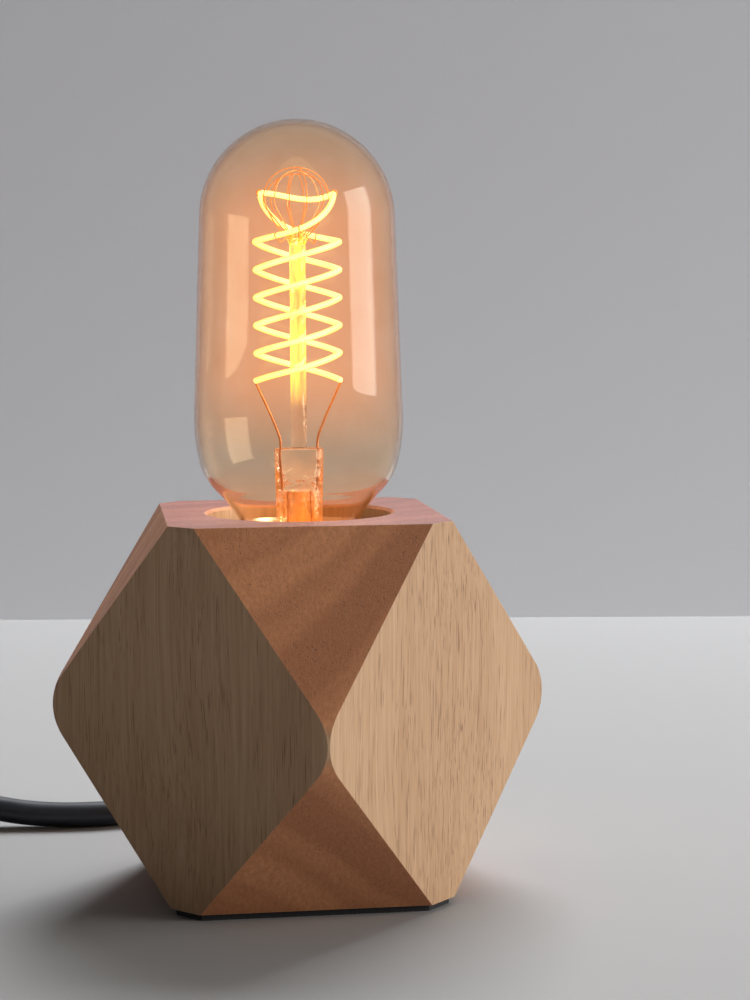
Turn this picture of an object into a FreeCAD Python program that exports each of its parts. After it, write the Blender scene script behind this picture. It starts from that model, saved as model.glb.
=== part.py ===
"""Bare bulb table lamp: a sawn and sanded wooden block with a screw lampholder sunk in its top, a tubular
decorative bulb, and a black lead with an in-line rocker switch and a two-pin plug.

Frame: millimetres, +Z up, origin on the table under the middle of the block. -Y is the lamp's front and
the lead leaves the block at the middle of its back, towards +Y.
"""
import FreeCAD, Part
import math
import os
import re
import Sketcher

SIZES = {
    # Block: a square post whose eight corners are sawn off until the cuts meet at the middle of each edge.
    "pad_thickness": 1.5,
    "pad_inset": 1.2,
    "block_height": 80.0,
    "across_flats": 76.5,
    "top_inset": 8.75,
    "bottom_inset": 8.35,
    "corner_reach": 53.85,
    "corner_height": 39.25,
    "corner_round": 12.0,
    # Holes in the block: the bore for the holder, the recess under it and the channel for the lead.
    "bore_diameter": 40.0,
    "bore_depth": 45.0,
    "bore_chamfer": 0.6,
    "recess_diameter": 36.0,
    "recess_depth": 16.0,
    "channel_axis": 5.8,
    "channel_clearance": 0.3,
    # Threaded tube that holds the holder down, with its washer and nut.
    "nipple_diameter": 10.0,
    "nipple_bore": 7.6,
    "nipple_hole_clearance": 0.2,
    "nipple_below_nut": 1.4,
    "nut_flats": 14.0,
    "nut_height": 4.0,
    "washer_diameter": 22.0,
    "washer_height": 1.0,
    # Lampholder: cup, ceramic core, thread shell and skirt, stacked on the bore's floor.
    "holder_diameter": 38.0,
    "cup_floor": 3.0,
    "cup_ledge": 9.0,
    "cup_shoulder": 8.0,
    "cup_height": 14.0,
    "cup_cavity": 27.0,
    "core_diameter": 31.0,
    "core_height": 5.5,
    "core_rim": 1.9,
    "core_rim_wall": 2.2,
    "neck_wall": 1.7,
    "shell_bore": 26.7,
    "shell_wall": 0.4,
    "shell_height": 21.0,
    "skirt_height": 32.0,
    "hub_diameter": 15.0,
    "hub_height": 6.0,
    "fit": 0.15,
    # Contacts and their screws on the ceramic core.
    "strip_thickness": 0.5,
    "strip_width": 5.0,
    "terminal_reach": 8.2,
    "terminal_head": 5.0,
    "terminal_head_height": 1.4,
    "terminal_shank": 3.0,
    "contact_gap": 0.3,
    # Bulb: tubular glass on a 27 mm screw cap.
    "bulb_length": 112.5,
    "bulb_sink": 28.2,
    "bulb_dome": 21.0,
    "bulb_body": 22.6,
    "bulb_body_height": 48.2,
    "bulb_shoulder": 21.5,
    "bulb_shoulder_height": 39.2,
    "bulb_waist": 17.6,
    "bulb_waist_height": 32.6,
    "glass_wall": 0.8,
    "neck_gap": 1.6,
    "neck_depth": 9.0,
    "cap_height": 26.0,
    "cap_play": 0.35,
    "cap_wall": 0.3,
    "cap_flare": 0.2,
    "cap_skirt": 4.3,
    "eyelet_radius": 4.7,
    "eyelet_height": 1.2,
    "insulator_height": 4.2,
    # Glass mount inside the bulb and what it carries.
    "flare_gap": 0.85,
    "stem_radius": 4.9,
    "stem_wall": 1.1,
    "stem_top": 42.2,
    "press_width": 10.8,
    "press_depth": 4.6,
    "press_height": 8.0,
    "exhaust_radius": 2.0,
    "exhaust_length": 22.0,
    "rod_radius": 1.7,
    "rod_length": 47.0,
    "button_radius": 2.3,
    "lead_wire": 0.5,
    "hook_wire": 0.35,
    "coil_wire": 0.9,
    "coil_radius": 9.2,
    "coil_pitch": 11.9,
    "coil_turns": 2.5,
    "coil_start": 56.7,
    "coil_crown": 10.4,
    # Lead, clamp, in-line switch and plug.
    "lead_diameter": 6.0,
    "wire_diameter": 2.0,
    "strand_diameter": 0.8,
    "clamp_length": 19.0,
    "clamp_width": 7.0,
    "clamp_thickness": 1.2,
    "clamp_back": 25.7,
    "clamp_screw_spacing": 12.4,
    "clamp_screw_diameter": 2.6,
    "clamp_screw_length": 9.0,
    "switch_length": 60.0,
    "switch_width": 26.0,
    "switch_end_width": 13.0,
    "switch_shoulder": 17.0,
    "switch_height": 16.5,
    "switch_wall": 1.8,
    "switch_lead_height": 7.5,
    "rocker_length": 16.4,
    "rocker_width": 11.0,
    "rocker_gap": 0.4,
    "rocker_pivot_height": 12.6,
    "rocker_rise": 3.6,
    "rocker_valley": 1.2,
    "rocker_tilt": 8.0,
    "trunnion_radius": 1.5,
    "trunnion_length": 1.0,
    "trunnion_clearance": 0.05,
    "switch_screw_x": 20.5,
    "switch_screw_y": 6.6,
    "switch_screw_shank": 2.5,
    "switch_screw_head": 4.6,
    "switch_screw_head_height": 1.8,
    "switch_screw_length": 12.0,
    "plug_width": 35.0,
    "plug_thickness": 14.0,
    "plug_length": 28.0,
    "plug_tail_length": 20.0,
    "pin_spacing": 18.6,
    "pin_length": 19.0,
    "pin_radius": 2.0,
    "pin_core_radius": 1.5,
    "sleeve_length": 10.0,
    "put_away_turn": 42.5,
    "put_away_spacing": 6.1,
    "put_away_turns_across": 3,
    "put_away_layers": 2,
    "tie_thickness": 0.7,
    "tie_width": 8.0,
}

# Where the lead's pieces lie on the table: centre of the switch, of the put-away coil, and the plug's back.
SWITCH_CENTRE = (-118.0, 58.2)
COIL_CENTRE = (-150.1, -1.5)
PLUG_BACK = (-86.0, -23.0)

# The lead's route. It leaves the channel in the block's back, bends round to the left and lies on the table.
INLET_ROUTE = [(0.0, 15.0, 5.8), (0.0, 31.0, 5.8)]
LAMP_LEAD_ROUTE = [
    (0.0, 31.0, 5.8), (0.0, 42.0, 5.8), (-6.0, 53.5, 4.6), (-18.0, 59.0, 3.3), (-30.5, 56.6, 3.05),
    (-42.5, 53.0, 3.05), (-56.5, 53.9, 3.05), (-68.5, 56.2, 4.4), (-80.0, 58.2, 7.5), (-91.0, 58.2, 7.5),
]
PLUG_LEAD_ROUTE = [
    (-145.0, 58.2, 7.5), (-156.0, 58.2, 7.5), (-168.0, 56.0, 4.9), (-179.5, 49.2, 3.8),
    (-187.6, 38.8, 3.8), (-192.0, 26.5, 3.8), (-193.2, 14.0, 3.8), (-192.6, 2.0, 3.8),
]
TAIL_ROUTE = [
    (-192.6, -12.6, 9.8), (-190.0, -26.1, 9.6), (-182.0, -39.2, 7.6), (-169.6, -49.8, 4.9),
    (-154.5, -55.4, 3.3), (-139.5, -57.6, 3.05), (-125.0, -58.0, 3.05), (-111.5, -56.2, 3.1),
    (-99.6, -51.0, 3.5), (-90.9, -42.2, 4.8), (-86.8, -32.0, 6.6), (-86.0, -23.0, 7.0),
]

# Sizes that follow others: each name stands for its formula.
TIED = {
    "top_half": "across_flats / 2 - top_inset",
    "bottom_half": "across_flats / 2 - bottom_inset",
    "cap_radius": "shell_bore / 2 - cap_play",
    "cap_rim": "cap_radius + cap_flare",
    "neck_radius": "cap_radius - neck_gap",
    "flare_radius": "neck_radius - flare_gap",
}

doc = FreeCAD.newDocument("bare_bulb_lamp")
dims = doc.addObject("Spreadsheet::Sheet", "dims")
for row, (alias, amount) in enumerate(SIZES.items(), start=1):
    dims.set(f"A{row}", alias.replace("_", " "))
    dims.set(f"B{row}", str(amount))
    dims.setAlias(f"B{row}", alias)
doc.recompute()

pieces = []


# ---- Helpers: formulas, sketches and features ----

def linked(formula):
    """The formula with its tied sizes written out and each size's name turned into a reference to its cell."""
    while any(word in TIED for word in re.findall(r"[a-z]\w*", formula)):
        formula = re.sub(r"[a-z]\w*", lambda word: f"({TIED[word[0]]})" if word[0] in TIED else word[0],
                         formula)
    return re.sub(r"[a-z]\w*", lambda word: f"dims.{word[0]}" if word[0] in SIZES else word[0], formula)


def value(formula):
    """The formula's present value in millimetres or degrees."""
    found = dims.evalExpression(linked(formula))
    return float(getattr(found, "Value", found))


def bind(thing, **formulas):
    """Tie properties to formulas, such as Length="block_height"."""
    for name, formula in formulas.items():
        thing.setExpression(name, linked(formula))


def place(piece, x="0", y="0", z="0"):
    """Tie the piece's position to three formulas."""
    for axis, formula in zip("xyz", (x, y, z)):
        piece.setExpression(f"Placement.Base.{axis}", linked(formula))


def new_body(label, x="0", y="0", z="0"):
    body = doc.addObject("PartDesign::Body", label)
    body.Label = label
    place(body, x, y, z)
    pieces.append(body)
    return body


def new_sketch(body, role, height="0"):
    """Empty sketch on one of the body's own origin planes, moved along the plane's normal by height."""
    sketch = body.newObject("Sketcher::SketchObject", "sketch")
    plane = next(item for item in body.Origin.OriginFeatures if item.Role == role)
    sketch.AttachmentSupport = [(plane, "")]
    sketch.MapMode = "FlatFace"
    sketch.setExpression("AttachmentOffset.Base.z", linked(height))
    return sketch


def fix_point(sketch, edge, end, corner):
    """Dimension a point from the sketch's origin by two formulas; a plain 0 puts it on the axis."""
    for kind, axis, formula in (("DistanceX", -2, corner[0]), ("DistanceY", -1, corner[1])):
        if formula == "0":
            sketch.addConstraint(Sketcher.Constraint("PointOnObject", edge, end, axis))
            continue
        number = sketch.addConstraint(Sketcher.Constraint(kind, -1, 1, edge, end, value(formula)))
        sketch.setExpression(f"Constraints[{number}]", linked(formula))


def arc_between(start, finish, radius):
    """Minor arc from start to finish. A positive radius turns left on the way, a negative one right."""
    chord = finish - start
    middle = (start + finish) * 0.5
    left = FreeCAD.Vector(-chord.y, chord.x, 0).normalize()
    reach = math.sqrt(max(0.0, radius**2 - (chord.Length / 2) ** 2))
    centre = middle + left * math.copysign(reach, radius)
    first, last = (start, finish) if radius > 0 else (finish, start)
    circle = Part.Circle(centre, FreeCAD.Vector(0, 0, 1), abs(radius))
    angles = [math.atan2(p.y - centre.y, p.x - centre.x) for p in (first, last)]
    return Part.ArcOfCircle(circle, *angles)


def add_loop(sketch, corners):
    """Closed loop of straight edges and arcs. A corner is (x, y) or (x, y, radius), as formulas, where the
    radius belongs to the arc that arrives at the corner."""
    points = [FreeCAD.Vector(value(corner[0]), value(corner[1]), 0) for corner in corners]
    ends = []
    for step, corner in enumerate(corners):
        start, finish = points[step - 1], points[step]
        if len(corner) == 2:
            edge = sketch.addGeometry(Part.LineSegment(start, finish))
            ends.append((edge, 1, 2))
            continue
        radius = value(corner[2])
        edge = sketch.addGeometry(arc_between(start, finish, radius))
        ends.append((edge, 1, 2) if radius > 0 else (edge, 2, 1))
        number = sketch.addConstraint(Sketcher.Constraint("Radius", edge, abs(radius)))
        sketch.setExpression(f"Constraints[{number}]", linked(f"abs({corner[2]})"))
    for step, corner in enumerate(corners):
        edge, _, finish_end = ends[step]
        after, start_end, _ = ends[(step + 1) % len(ends)]
        sketch.addConstraint(Sketcher.Constraint("Coincident", edge, finish_end, after, start_end))
        fix_point(sketch, edge, finish_end, corner)


def add_circle(sketch, radius, x="0", y="0"):
    centre = FreeCAD.Vector(value(x), value(y), 0)
    edge = sketch.addGeometry(Part.Circle(centre, FreeCAD.Vector(0, 0, 1), value(radius)))
    if (x, y) == ("0", "0"):
        sketch.addConstraint(Sketcher.Constraint("Coincident", edge, 3, -1, 1))
    else:
        fix_point(sketch, edge, 3, (x, y))
    number = sketch.addConstraint(Sketcher.Constraint("Radius", edge, value(radius)))
    sketch.setExpression(f"Constraints[{number}]", linked(radius))


def rectangle(half_x, half_y, x="0", y="0"):
    """Corners of a rectangle about (x, y), counter-clockwise."""
    return [(f"{x} {a} ({half_x})", f"{y} {b} ({half_y})") for a, b in ("--", "+-", "++", "-+")]


def finish(body, feature):
    """Make the feature the body's last one and check that it gives a shape."""
    body.Tip = feature
    doc.recompute()
    if feature.Shape.isNull() or not feature.Shape.isValid():
        raise RuntimeError(f"{body.Label}: {feature.Name} fails")
    return feature


def pad(body, sketch, length, both_ways=False, downwards=False):
    feature = body.newObject("PartDesign::Pad", "pad")
    feature.Profile = sketch
    feature.SideType = "Symmetric" if both_ways else "One side"
    feature.Reversed = downwards
    bind(feature, Length=length)
    return finish(body, feature)


def pocket(body, sketch, length=None, both_ways=False, upwards=False):
    """Cut along the sketch's normal, checked to have removed something. No length means right through."""
    before = body.Tip.Shape.Volume
    feature = body.newObject("PartDesign::Pocket", "pocket")
    feature.Profile = sketch
    feature.SideType = "Symmetric" if both_ways else "One side"
    feature.Reversed = upwards
    if length is None:
        feature.Type = "ThroughAll"
    else:
        bind(feature, Length=length)
    finish(body, feature)
    if feature.Shape.Volume > before - 0.01:
        raise RuntimeError(f"{body.Label}: {feature.Name} removes nothing")
    return feature


def turn(body, corners):
    """Revolve a profile, radius against height, about the body's Z axis."""
    sketch = new_sketch(body, "XZ_Plane")
    add_loop(sketch, corners)
    feature = body.newObject("PartDesign::Revolution", "turning")
    feature.Profile = sketch
    feature.ReferenceAxis = (sketch, ["V_Axis"])
    feature.Angle = 360
    return finish(body, feature)


def turned(label, corners, x="0", y="0", z="0"):
    body = new_body(label, x, y, z)
    turn(body, corners)
    return body


def round_edges(body, radius, wanted, kind="Fillet"):
    """Fillet or chamfer the edges of the tip that wanted() picks by their middle point and direction."""
    solid, names = body.Tip, []
    for number, edge in enumerate(solid.Shape.Edges, start=1):
        middle = edge.valueAt((edge.FirstParameter + edge.LastParameter) / 2)
        along = edge.tangentAt((edge.FirstParameter + edge.LastParameter) / 2)
        if wanted(middle, along):
            names.append(f"Edge{number}")
    if not names:
        raise RuntimeError(f"{body.Label}: no edge to round")
    feature = body.newObject(f"PartDesign::{kind}", "rounding")
    feature.Base = (solid, names)
    bind(feature, **({"Radius": radius} if kind == "Fillet" else {"Size": radius}))
    return finish(body, feature)


def polar(body, feature, count):
    """Repeat a feature all round the body's Z axis."""
    pattern = body.newObject("PartDesign::PolarPattern", "pattern")
    pattern.Originals = [feature]
    pattern.Axis = (next(item for item in body.Origin.OriginFeatures if item.Role == "Z_Axis"), [""])
    pattern.Angle = 360
    pattern.Occurrences = count
    return finish(body, pattern)


def new_feature(label, shape, at=(0, 0, 0)):
    """Piece whose shape is worked out with the geometry functions."""
    piece = doc.addObject("Part::Feature", label)
    piece.Label = label
    piece.Shape = shape
    piece.Placement = FreeCAD.Placement(FreeCAD.Vector(*at), FreeCAD.Rotation())
    pieces.append(piece)
    return piece


def rounded_path(route, label):
    """Straight runs joined by tangent arcs, each as large as its two runs allow, with its radii printed."""
    points = [FreeCAD.Vector(*point) for point in route]
    edges, radii, start = [], [], points[0]
    for before, corner, after in zip(points, points[1:], points[2:]):
        back, forth = before - corner, after - corner
        half_turn = (math.pi - back.getAngle(forth)) / 2
        reach = 0.45 * min(back.Length, forth.Length)
        radii.append(round(reach / math.tan(half_turn), 1))
        back.normalize()
        forth.normalize()
        enter, leave = corner + back * reach, corner + forth * reach
        inward = (back + forth).normalize()
        radius = reach / math.tan(half_turn)
        crown = corner + inward * (radius / math.cos(half_turn) - radius)
        edges += [Part.LineSegment(start, enter).toShape(), Part.Arc(enter, crown, leave).toShape()]
        start = leave
    edges.append(Part.LineSegment(start, points[-1]).toShape())
    print(f"{label}: bend radii {radii}")
    return Part.Wire(edges)


def swept(path, diameter):
    """Round solid along a wire, mitred at its corners, its volume checked against section times length."""
    first = path.Edges[0]
    start, along = first.valueAt(first.FirstParameter), first.tangentAt(first.FirstParameter)
    circle = Part.Circle(start, along, diameter / 2)
    solid = path.makePipeShell([Part.Wire(circle.toShape())], True, False, 1)
    expected = math.pi * diameter**2 / 4 * path.Length
    if abs(solid.Volume - expected) > 0.04 * expected:
        raise RuntimeError(f"swept volume {solid.Volume:.1f} against {expected:.1f}")
    return solid


def bent_wire(route, diameter):
    """Thin wire in straight runs between the route's points."""
    return swept(Part.makePolygon([FreeCAD.Vector(*point) for point in route]), diameter)


def tube(label, route, size):
    path = rounded_path(route, label)
    print(f"{label}: {path.Length:.1f} long")
    return new_feature(label, swept(path, value(size)))


# ---- Wooden block and its pad ----

BLOCK_TOP = "pad_thickness + block_height"
FACET = "across_flats * sqrt(2) / 2"


def octagon(half, inset="0"):
    """Outline of the block's top or bottom face: a square cut off by the four upright faces."""
    near, far = f"{half} - {inset}", f"{FACET} - {half} - 0.4 * ({inset})"
    return [(near, f"-({far})"), (near, far), (far, near), (f"-({far})", near), (f"-({near})", far),
            (f"-({near})", f"-({far})"), (f"-({far})", f"-({near})"), (far, f"-({near})")]


def wooden_block():
    block = new_body("wood_block", z="pad_thickness")
    square = new_sketch(block, "XY_Plane")
    add_loop(square, [(FACET, "0"), ("0", FACET), (f"-({FACET})", "0"), ("0", f"-({FACET})")])
    pad(block, square, "block_height")

    # The waste beyond one pair of sloping faces, which meet in a rounded corner.
    waste = new_sketch(block, "XZ_Plane")
    top = ("top_half", "block_height")
    bottom = ("bottom_half", "0")
    far = "corner_reach + 20"
    corner = FreeCAD.Vector(value("corner_reach"), value("corner_height"), 0)
    upper_start = FreeCAD.Vector(value(top[0]), value(top[1]), 0)
    lower_end = FreeCAD.Vector(value(bottom[0]), 0, 0)
    radius = value("corner_round")
    centre = corner - FreeCAD.Vector(radius, 0, 0)
    upper_touch = centre + FreeCAD.Vector(0.84, 0.55, 0) * radius
    lower_touch = centre + FreeCAD.Vector(0.84, -0.55, 0) * radius
    far_top = FreeCAD.Vector(value(far), value(top[1]), 0)
    far_bottom = FreeCAD.Vector(value(far), 0, 0)
    slope_up = waste.addGeometry(Part.LineSegment(upper_start, upper_touch))
    rounding = waste.addGeometry(arc_between(lower_touch, upper_touch, radius))
    slope_down = waste.addGeometry(Part.LineSegment(lower_touch, lower_end))
    floor = waste.addGeometry(Part.LineSegment(lower_end, far_bottom))
    side = waste.addGeometry(Part.LineSegment(far_bottom, far_top))
    roof = waste.addGeometry(Part.LineSegment(far_top, upper_start))
    waste.addConstraint(Sketcher.Constraint("Tangent", slope_up, 2, rounding, 2))
    waste.addConstraint(Sketcher.Constraint("Tangent", rounding, 1, slope_down, 1))
    for edge, after in ((slope_down, floor), (floor, side), (side, roof), (roof, slope_up)):
        waste.addConstraint(Sketcher.Constraint("Coincident", edge, 2, after, 1))
    fix_point(waste, slope_up, 1, top)
    fix_point(waste, floor, 1, bottom)
    fix_point(waste, side, 1, (far, "0"))
    fix_point(waste, side, 2, (far, "block_height"))
    fix_point(waste, rounding, 3, ("corner_reach - corner_round", "corner_height"))
    size = waste.addConstraint(Sketcher.Constraint("Radius", rounding, radius))
    waste.setExpression(f"Constraints[{size}]", linked("corner_round"))
    cut = pocket(block, waste, length=f"4 * ({far})", both_ways=True)
    polar(block, cut, 4)

    # Bore for the holder, hole for the threaded tube, recess and lead channel.
    bore = new_sketch(block, "XY_Plane", "block_height")
    add_circle(bore, "bore_diameter / 2")
    pocket(block, bore, "bore_depth")
    recess = new_sketch(block, "XY_Plane")
    add_circle(recess, "recess_diameter / 2")
    pocket(block, recess, "recess_depth", upwards=True)
    hole = new_sketch(block, "XY_Plane")
    add_circle(hole, "nipple_diameter / 2 + nipple_hole_clearance")
    pocket(block, hole, "block_height", upwards=True)
    half = "lead_diameter / 2 + channel_clearance"
    axis = "channel_axis - pad_thickness"
    channel_sides = new_sketch(block, "XZ_Plane")
    left_wall = f"-({half})"
    add_loop(channel_sides, [(left_wall, "0"), (half, "0"), (half, axis), (left_wall, axis)])
    pocket(block, channel_sides)
    channel_crown = new_sketch(block, "XZ_Plane")
    add_circle(channel_crown, half, y=axis)
    pocket(block, channel_crown)
    clamp_seat = new_sketch(block, "XY_Plane")
    add_loop(clamp_seat, rectangle("clamp_length / 2 + fit", "clamp_width / 2 + fit", y="clamp_back"))
    pocket(block, clamp_seat, "clamp_thickness", upwards=True)
    screw_holes = new_sketch(block, "XY_Plane")
    for side in "-+":
        across = f"{side} clamp_screw_spacing / 2"
        add_circle(screw_holes, "clamp_screw_diameter / 2", x=across, y="clamp_back")
    pocket(block, screw_holes, "clamp_screw_length", upwards=True)
    bore_radius = value("bore_diameter / 2")
    top_height = value("block_height")

    def bore_rim(middle, _):
        off_axis = math.hypot(middle.x, middle.y)
        return abs(off_axis - bore_radius) < 0.01 and abs(middle.z - top_height) < 0.01

    round_edges(block, "bore_chamfer", bore_rim, kind="Chamfer")


def base_pad():
    body = new_body("base_pad")
    outline = new_sketch(body, "XY_Plane")
    add_loop(outline, octagon("bottom_half", "pad_inset"))
    pad(body, outline, "pad_thickness")


# ---- Fixings in the block ----

RECESS_TOP = "pad_thickness + recess_depth"
BORE_FLOOR = f"{BLOCK_TOP} - bore_depth"
NUT_BOTTOM = f"{RECESS_TOP} - washer_height - nut_height"
NIPPLE_BOTTOM = f"{NUT_BOTTOM} - nipple_below_nut"
NIPPLE_TOP = f"{BORE_FLOOR} + hub_height - 0.5"


def ring(label, inner, outer, height, z):
    return turned(label, [(inner, "0"), (outer, "0"), (outer, height), (inner, height)], z=z)


def fixings():
    ring("nipple", "nipple_bore / 2", "nipple_diameter / 2",
         f"{NIPPLE_TOP} - ({NIPPLE_BOTTOM})", NIPPLE_BOTTOM)
    ring("nipple_washer", "nipple_diameter / 2 + fit", "washer_diameter / 2", "washer_height",
         f"{RECESS_TOP} - washer_height")
    nut = new_body("nipple_nut", z=NUT_BOTTOM)
    hexagon = new_sketch(nut, "XY_Plane")
    across = "nut_flats / sqrt(3)"
    add_loop(hexagon, [(f"{across} * cos({60 * k})", f"{across} * sin({60 * k})") if k % 3 else
                       (f"{across} * cos({60 * k})", "0") for k in range(6)])
    add_circle(hexagon, "nipple_diameter / 2 + 0.02")
    pad(nut, hexagon, "nut_height")


# ---- Lampholder ----

LEDGE = f"{BORE_FLOOR} + cup_ledge"
CORE_TOP = f"{LEDGE} + core_height"
SHELL_BASE = f"{CORE_TOP} + core_rim"
CAVITY = "core_diameter / 2 + fit"
NECK = f"{CAVITY} + neck_wall"
OUTER = "holder_diameter / 2"


def holder():
    # Cup with a threaded hub for the tube, a ledge for the core and a neck that the skirt goes over.
    hub_bore = "nipple_diameter / 2 + 0.02"
    turned("holder_cup", [
        (hub_bore, "0"), (f"{OUTER} - 1.5", "0"), (OUTER, "1.5"), (OUTER, "cup_shoulder"),
        (NECK, "cup_shoulder"), (NECK, "cup_height"), (CAVITY, "cup_height"), (CAVITY, "cup_ledge"),
        ("cup_cavity / 2", "cup_ledge"), ("cup_cavity / 2", "cup_floor"), ("hub_diameter / 2", "cup_floor"),
        ("hub_diameter / 2", "hub_height"), (hub_bore, "hub_height"),
    ], z=BORE_FLOOR)

    # Ceramic core: a disc with a raised rim, two wire notches and a hole for each terminal screw.
    core = turned("holder_core", [
        ("0", "0"), ("core_diameter / 2", "0"), ("core_diameter / 2", "core_height + core_rim"),
        ("core_diameter / 2 - core_rim_wall", "core_height + core_rim"),
        ("core_diameter / 2 - core_rim_wall", "core_height"), ("0", "core_height"),
    ], z=LEDGE)
    notch = new_sketch(core, "XY_Plane")
    holes = new_sketch(core, "XY_Plane")
    for side in "-+":
        add_loop(notch, rectangle("wire_diameter / 2 + 0.3", "1.8", y=f"{side} (cup_cavity / 2 - 2.2)"))
        add_circle(holes, "terminal_shank / 2 + 0.02", x=f"{side} terminal_reach")
    pocket(core, notch, upwards=True)
    pocket(core, holes, upwards=True)

    # Rolled thread shell with the flange that the skirt clamps on the core's rim.
    bore, wall = "shell_bore / 2", "shell_wall"
    turned("thread_shell", [
        (bore, "0"), ("core_diameter / 2 - 0.3", "0"), ("core_diameter / 2 - 0.3", wall),
        (f"{bore} + {wall}", wall), (f"{bore} + {wall}", "shell_height - 0.8"),
        (f"{bore} + {wall} + 0.25", "shell_height"), (f"{bore} + 0.2", "shell_height"),
        (bore, "shell_height - 0.8"),
    ], z=SHELL_BASE)

    # Skirt: slides over the neck, clamps the flange with its shoulder and rounds off at the mouth.
    clamp = f"({SHELL_BASE}) - ({BORE_FLOOR}) - cup_shoulder + shell_wall + 0.05"
    throat = "shell_bore / 2 + shell_wall + 0.4"
    turned("holder_skirt", [
        (f"{NECK} + 0.05", "0"), (OUTER, "0"), (OUTER, "skirt_height - 1.5"),
        (f"{OUTER} - 1.5", "skirt_height", "1.5"), (f"{throat} + 1", "skirt_height"),
        (throat, "skirt_height - 1", "1"), (throat, clamp), (CAVITY, clamp),
        (CAVITY, "cup_height - cup_shoulder + 0.1"), (f"{NECK} + 0.05", "cup_height - cup_shoulder + 0.1"),
    ], z=f"{BORE_FLOOR} + cup_shoulder")

    # Springy middle contact: lies on the core, rises under the bulb's eyelet.
    tip = f"({BLOCK_TOP}) - ({CORE_TOP}) - contact_gap - bulb_sink"
    contact = new_body("centre_contact", z=CORE_TOP)
    strip = new_sketch(contact, "XZ_Plane")
    left = "terminal_reach + 2.6"
    lift = f"{tip} - strip_thickness"
    add_loop(strip, [
        (f"-({left})", "0"), ("-4.6", "0"), ("-2.6", lift), ("2.2", lift), ("3.6", f"{lift} - 0.6"),
        ("3.6", f"{tip} - 0.6"), ("2.2", tip), ("-2.9", tip), ("-4.9", "strip_thickness"),
        (f"-({left})", "strip_thickness"),
    ])
    pad(contact, strip, "strip_width", both_ways=True)
    drill_terminal(contact, "-")

    # Side contact: a flat strip from its screw out to the thread shell's flange.
    side = new_body("side_contact", z=CORE_TOP)
    plate = new_sketch(side, "XZ_Plane")
    rim = "core_diameter / 2 - core_rim_wall - 0.25"
    up = "core_rim + 1.2"
    add_loop(plate, [
        ("terminal_reach - 2.6", "0"), (rim, "0"), (rim, up), (f"{rim} - strip_thickness", up),
        (f"{rim} - strip_thickness", "strip_thickness"), ("terminal_reach - 2.6", "strip_thickness"),
    ])
    pad(side, plate, "strip_width", both_ways=True)
    drill_terminal(side, "+")


def drill_terminal(body, side):
    hole = new_sketch(body, "XY_Plane", "-1")
    add_circle(hole, "terminal_shank / 2 + 0.05", x=f"{side} terminal_reach")
    pocket(body, hole, upwards=True)


def screw_pair(label, shank, head, head_height, length, spot, at, heads_up=True):
    """Two slotted screws, half a turn apart about the body's Z axis, whose heads start at its z = 0."""
    body = new_body(label, *at)
    shanks, heads, slots = (new_sketch(body, "XY_Plane") for _ in range(3))
    slots.setExpression("AttachmentOffset.Base.z",
                        linked(f"{'' if heads_up else '-'}({head_height}) * 0.45"))
    for side in "-+":
        x, y = (f"{side} ({number})" if number != "0" else "0" for number in spot)
        add_circle(shanks, f"{shank} / 2", x=x, y=y)
        add_circle(heads, f"{head} / 2", x=x, y=y)
        add_loop(slots, rectangle(f"{head} / 2 + 0.5", "0.3", x=x, y=y))
    pad(body, shanks, length, downwards=heads_up)
    pad(body, heads, head_height, downwards=not heads_up)
    pocket(body, slots, head_height, upwards=heads_up)
    return body


# ---- Bulb ----

BULB_TIP = f"{BLOCK_TOP} - bulb_sink"


def bulb_glass():
    """Blown tube of even thickness: the neck, a waist, a shoulder, a body that narrows slightly upwards and
    a round dome. Each point has the profile's lean from upright, by which the inner point is moved."""
    low = "cap_height - neck_depth"
    outside = [
        ("neck_radius", low, None, 0), ("neck_radius", f"{low} + 3.8", None, 0),
        ("neck_radius + 1.1", f"{low} + 8.6", "-10.9", 26),
        ("bulb_waist", "bulb_waist_height", "-24.8", 46.5),
        ("bulb_shoulder", "bulb_shoulder_height", "13.2", 13.7), ("bulb_body", "bulb_body_height", "38", 0),
        ("bulb_dome", "bulb_length - bulb_dome", None, 0), ("0", "bulb_length", "bulb_dome", 90),
    ]
    outer, inner = [], []
    arriving = None
    for across, up, radius, lean in outside:
        outer.append((across, up, radius) if radius else (across, up))
    for across, up, radius, lean in reversed(outside):
        inward = ("0" if lean == 90 else f"{across} - glass_wall * cos({lean})",
                  f"{up} - glass_wall" if lean == 90 else f"{up} + glass_wall * sin({lean})")
        inner.append((*inward, f"glass_wall - ({arriving})") if arriving else inward)
        arriving = radius
    turned("glass_envelope", outer + inner, z=BULB_TIP)


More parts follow.
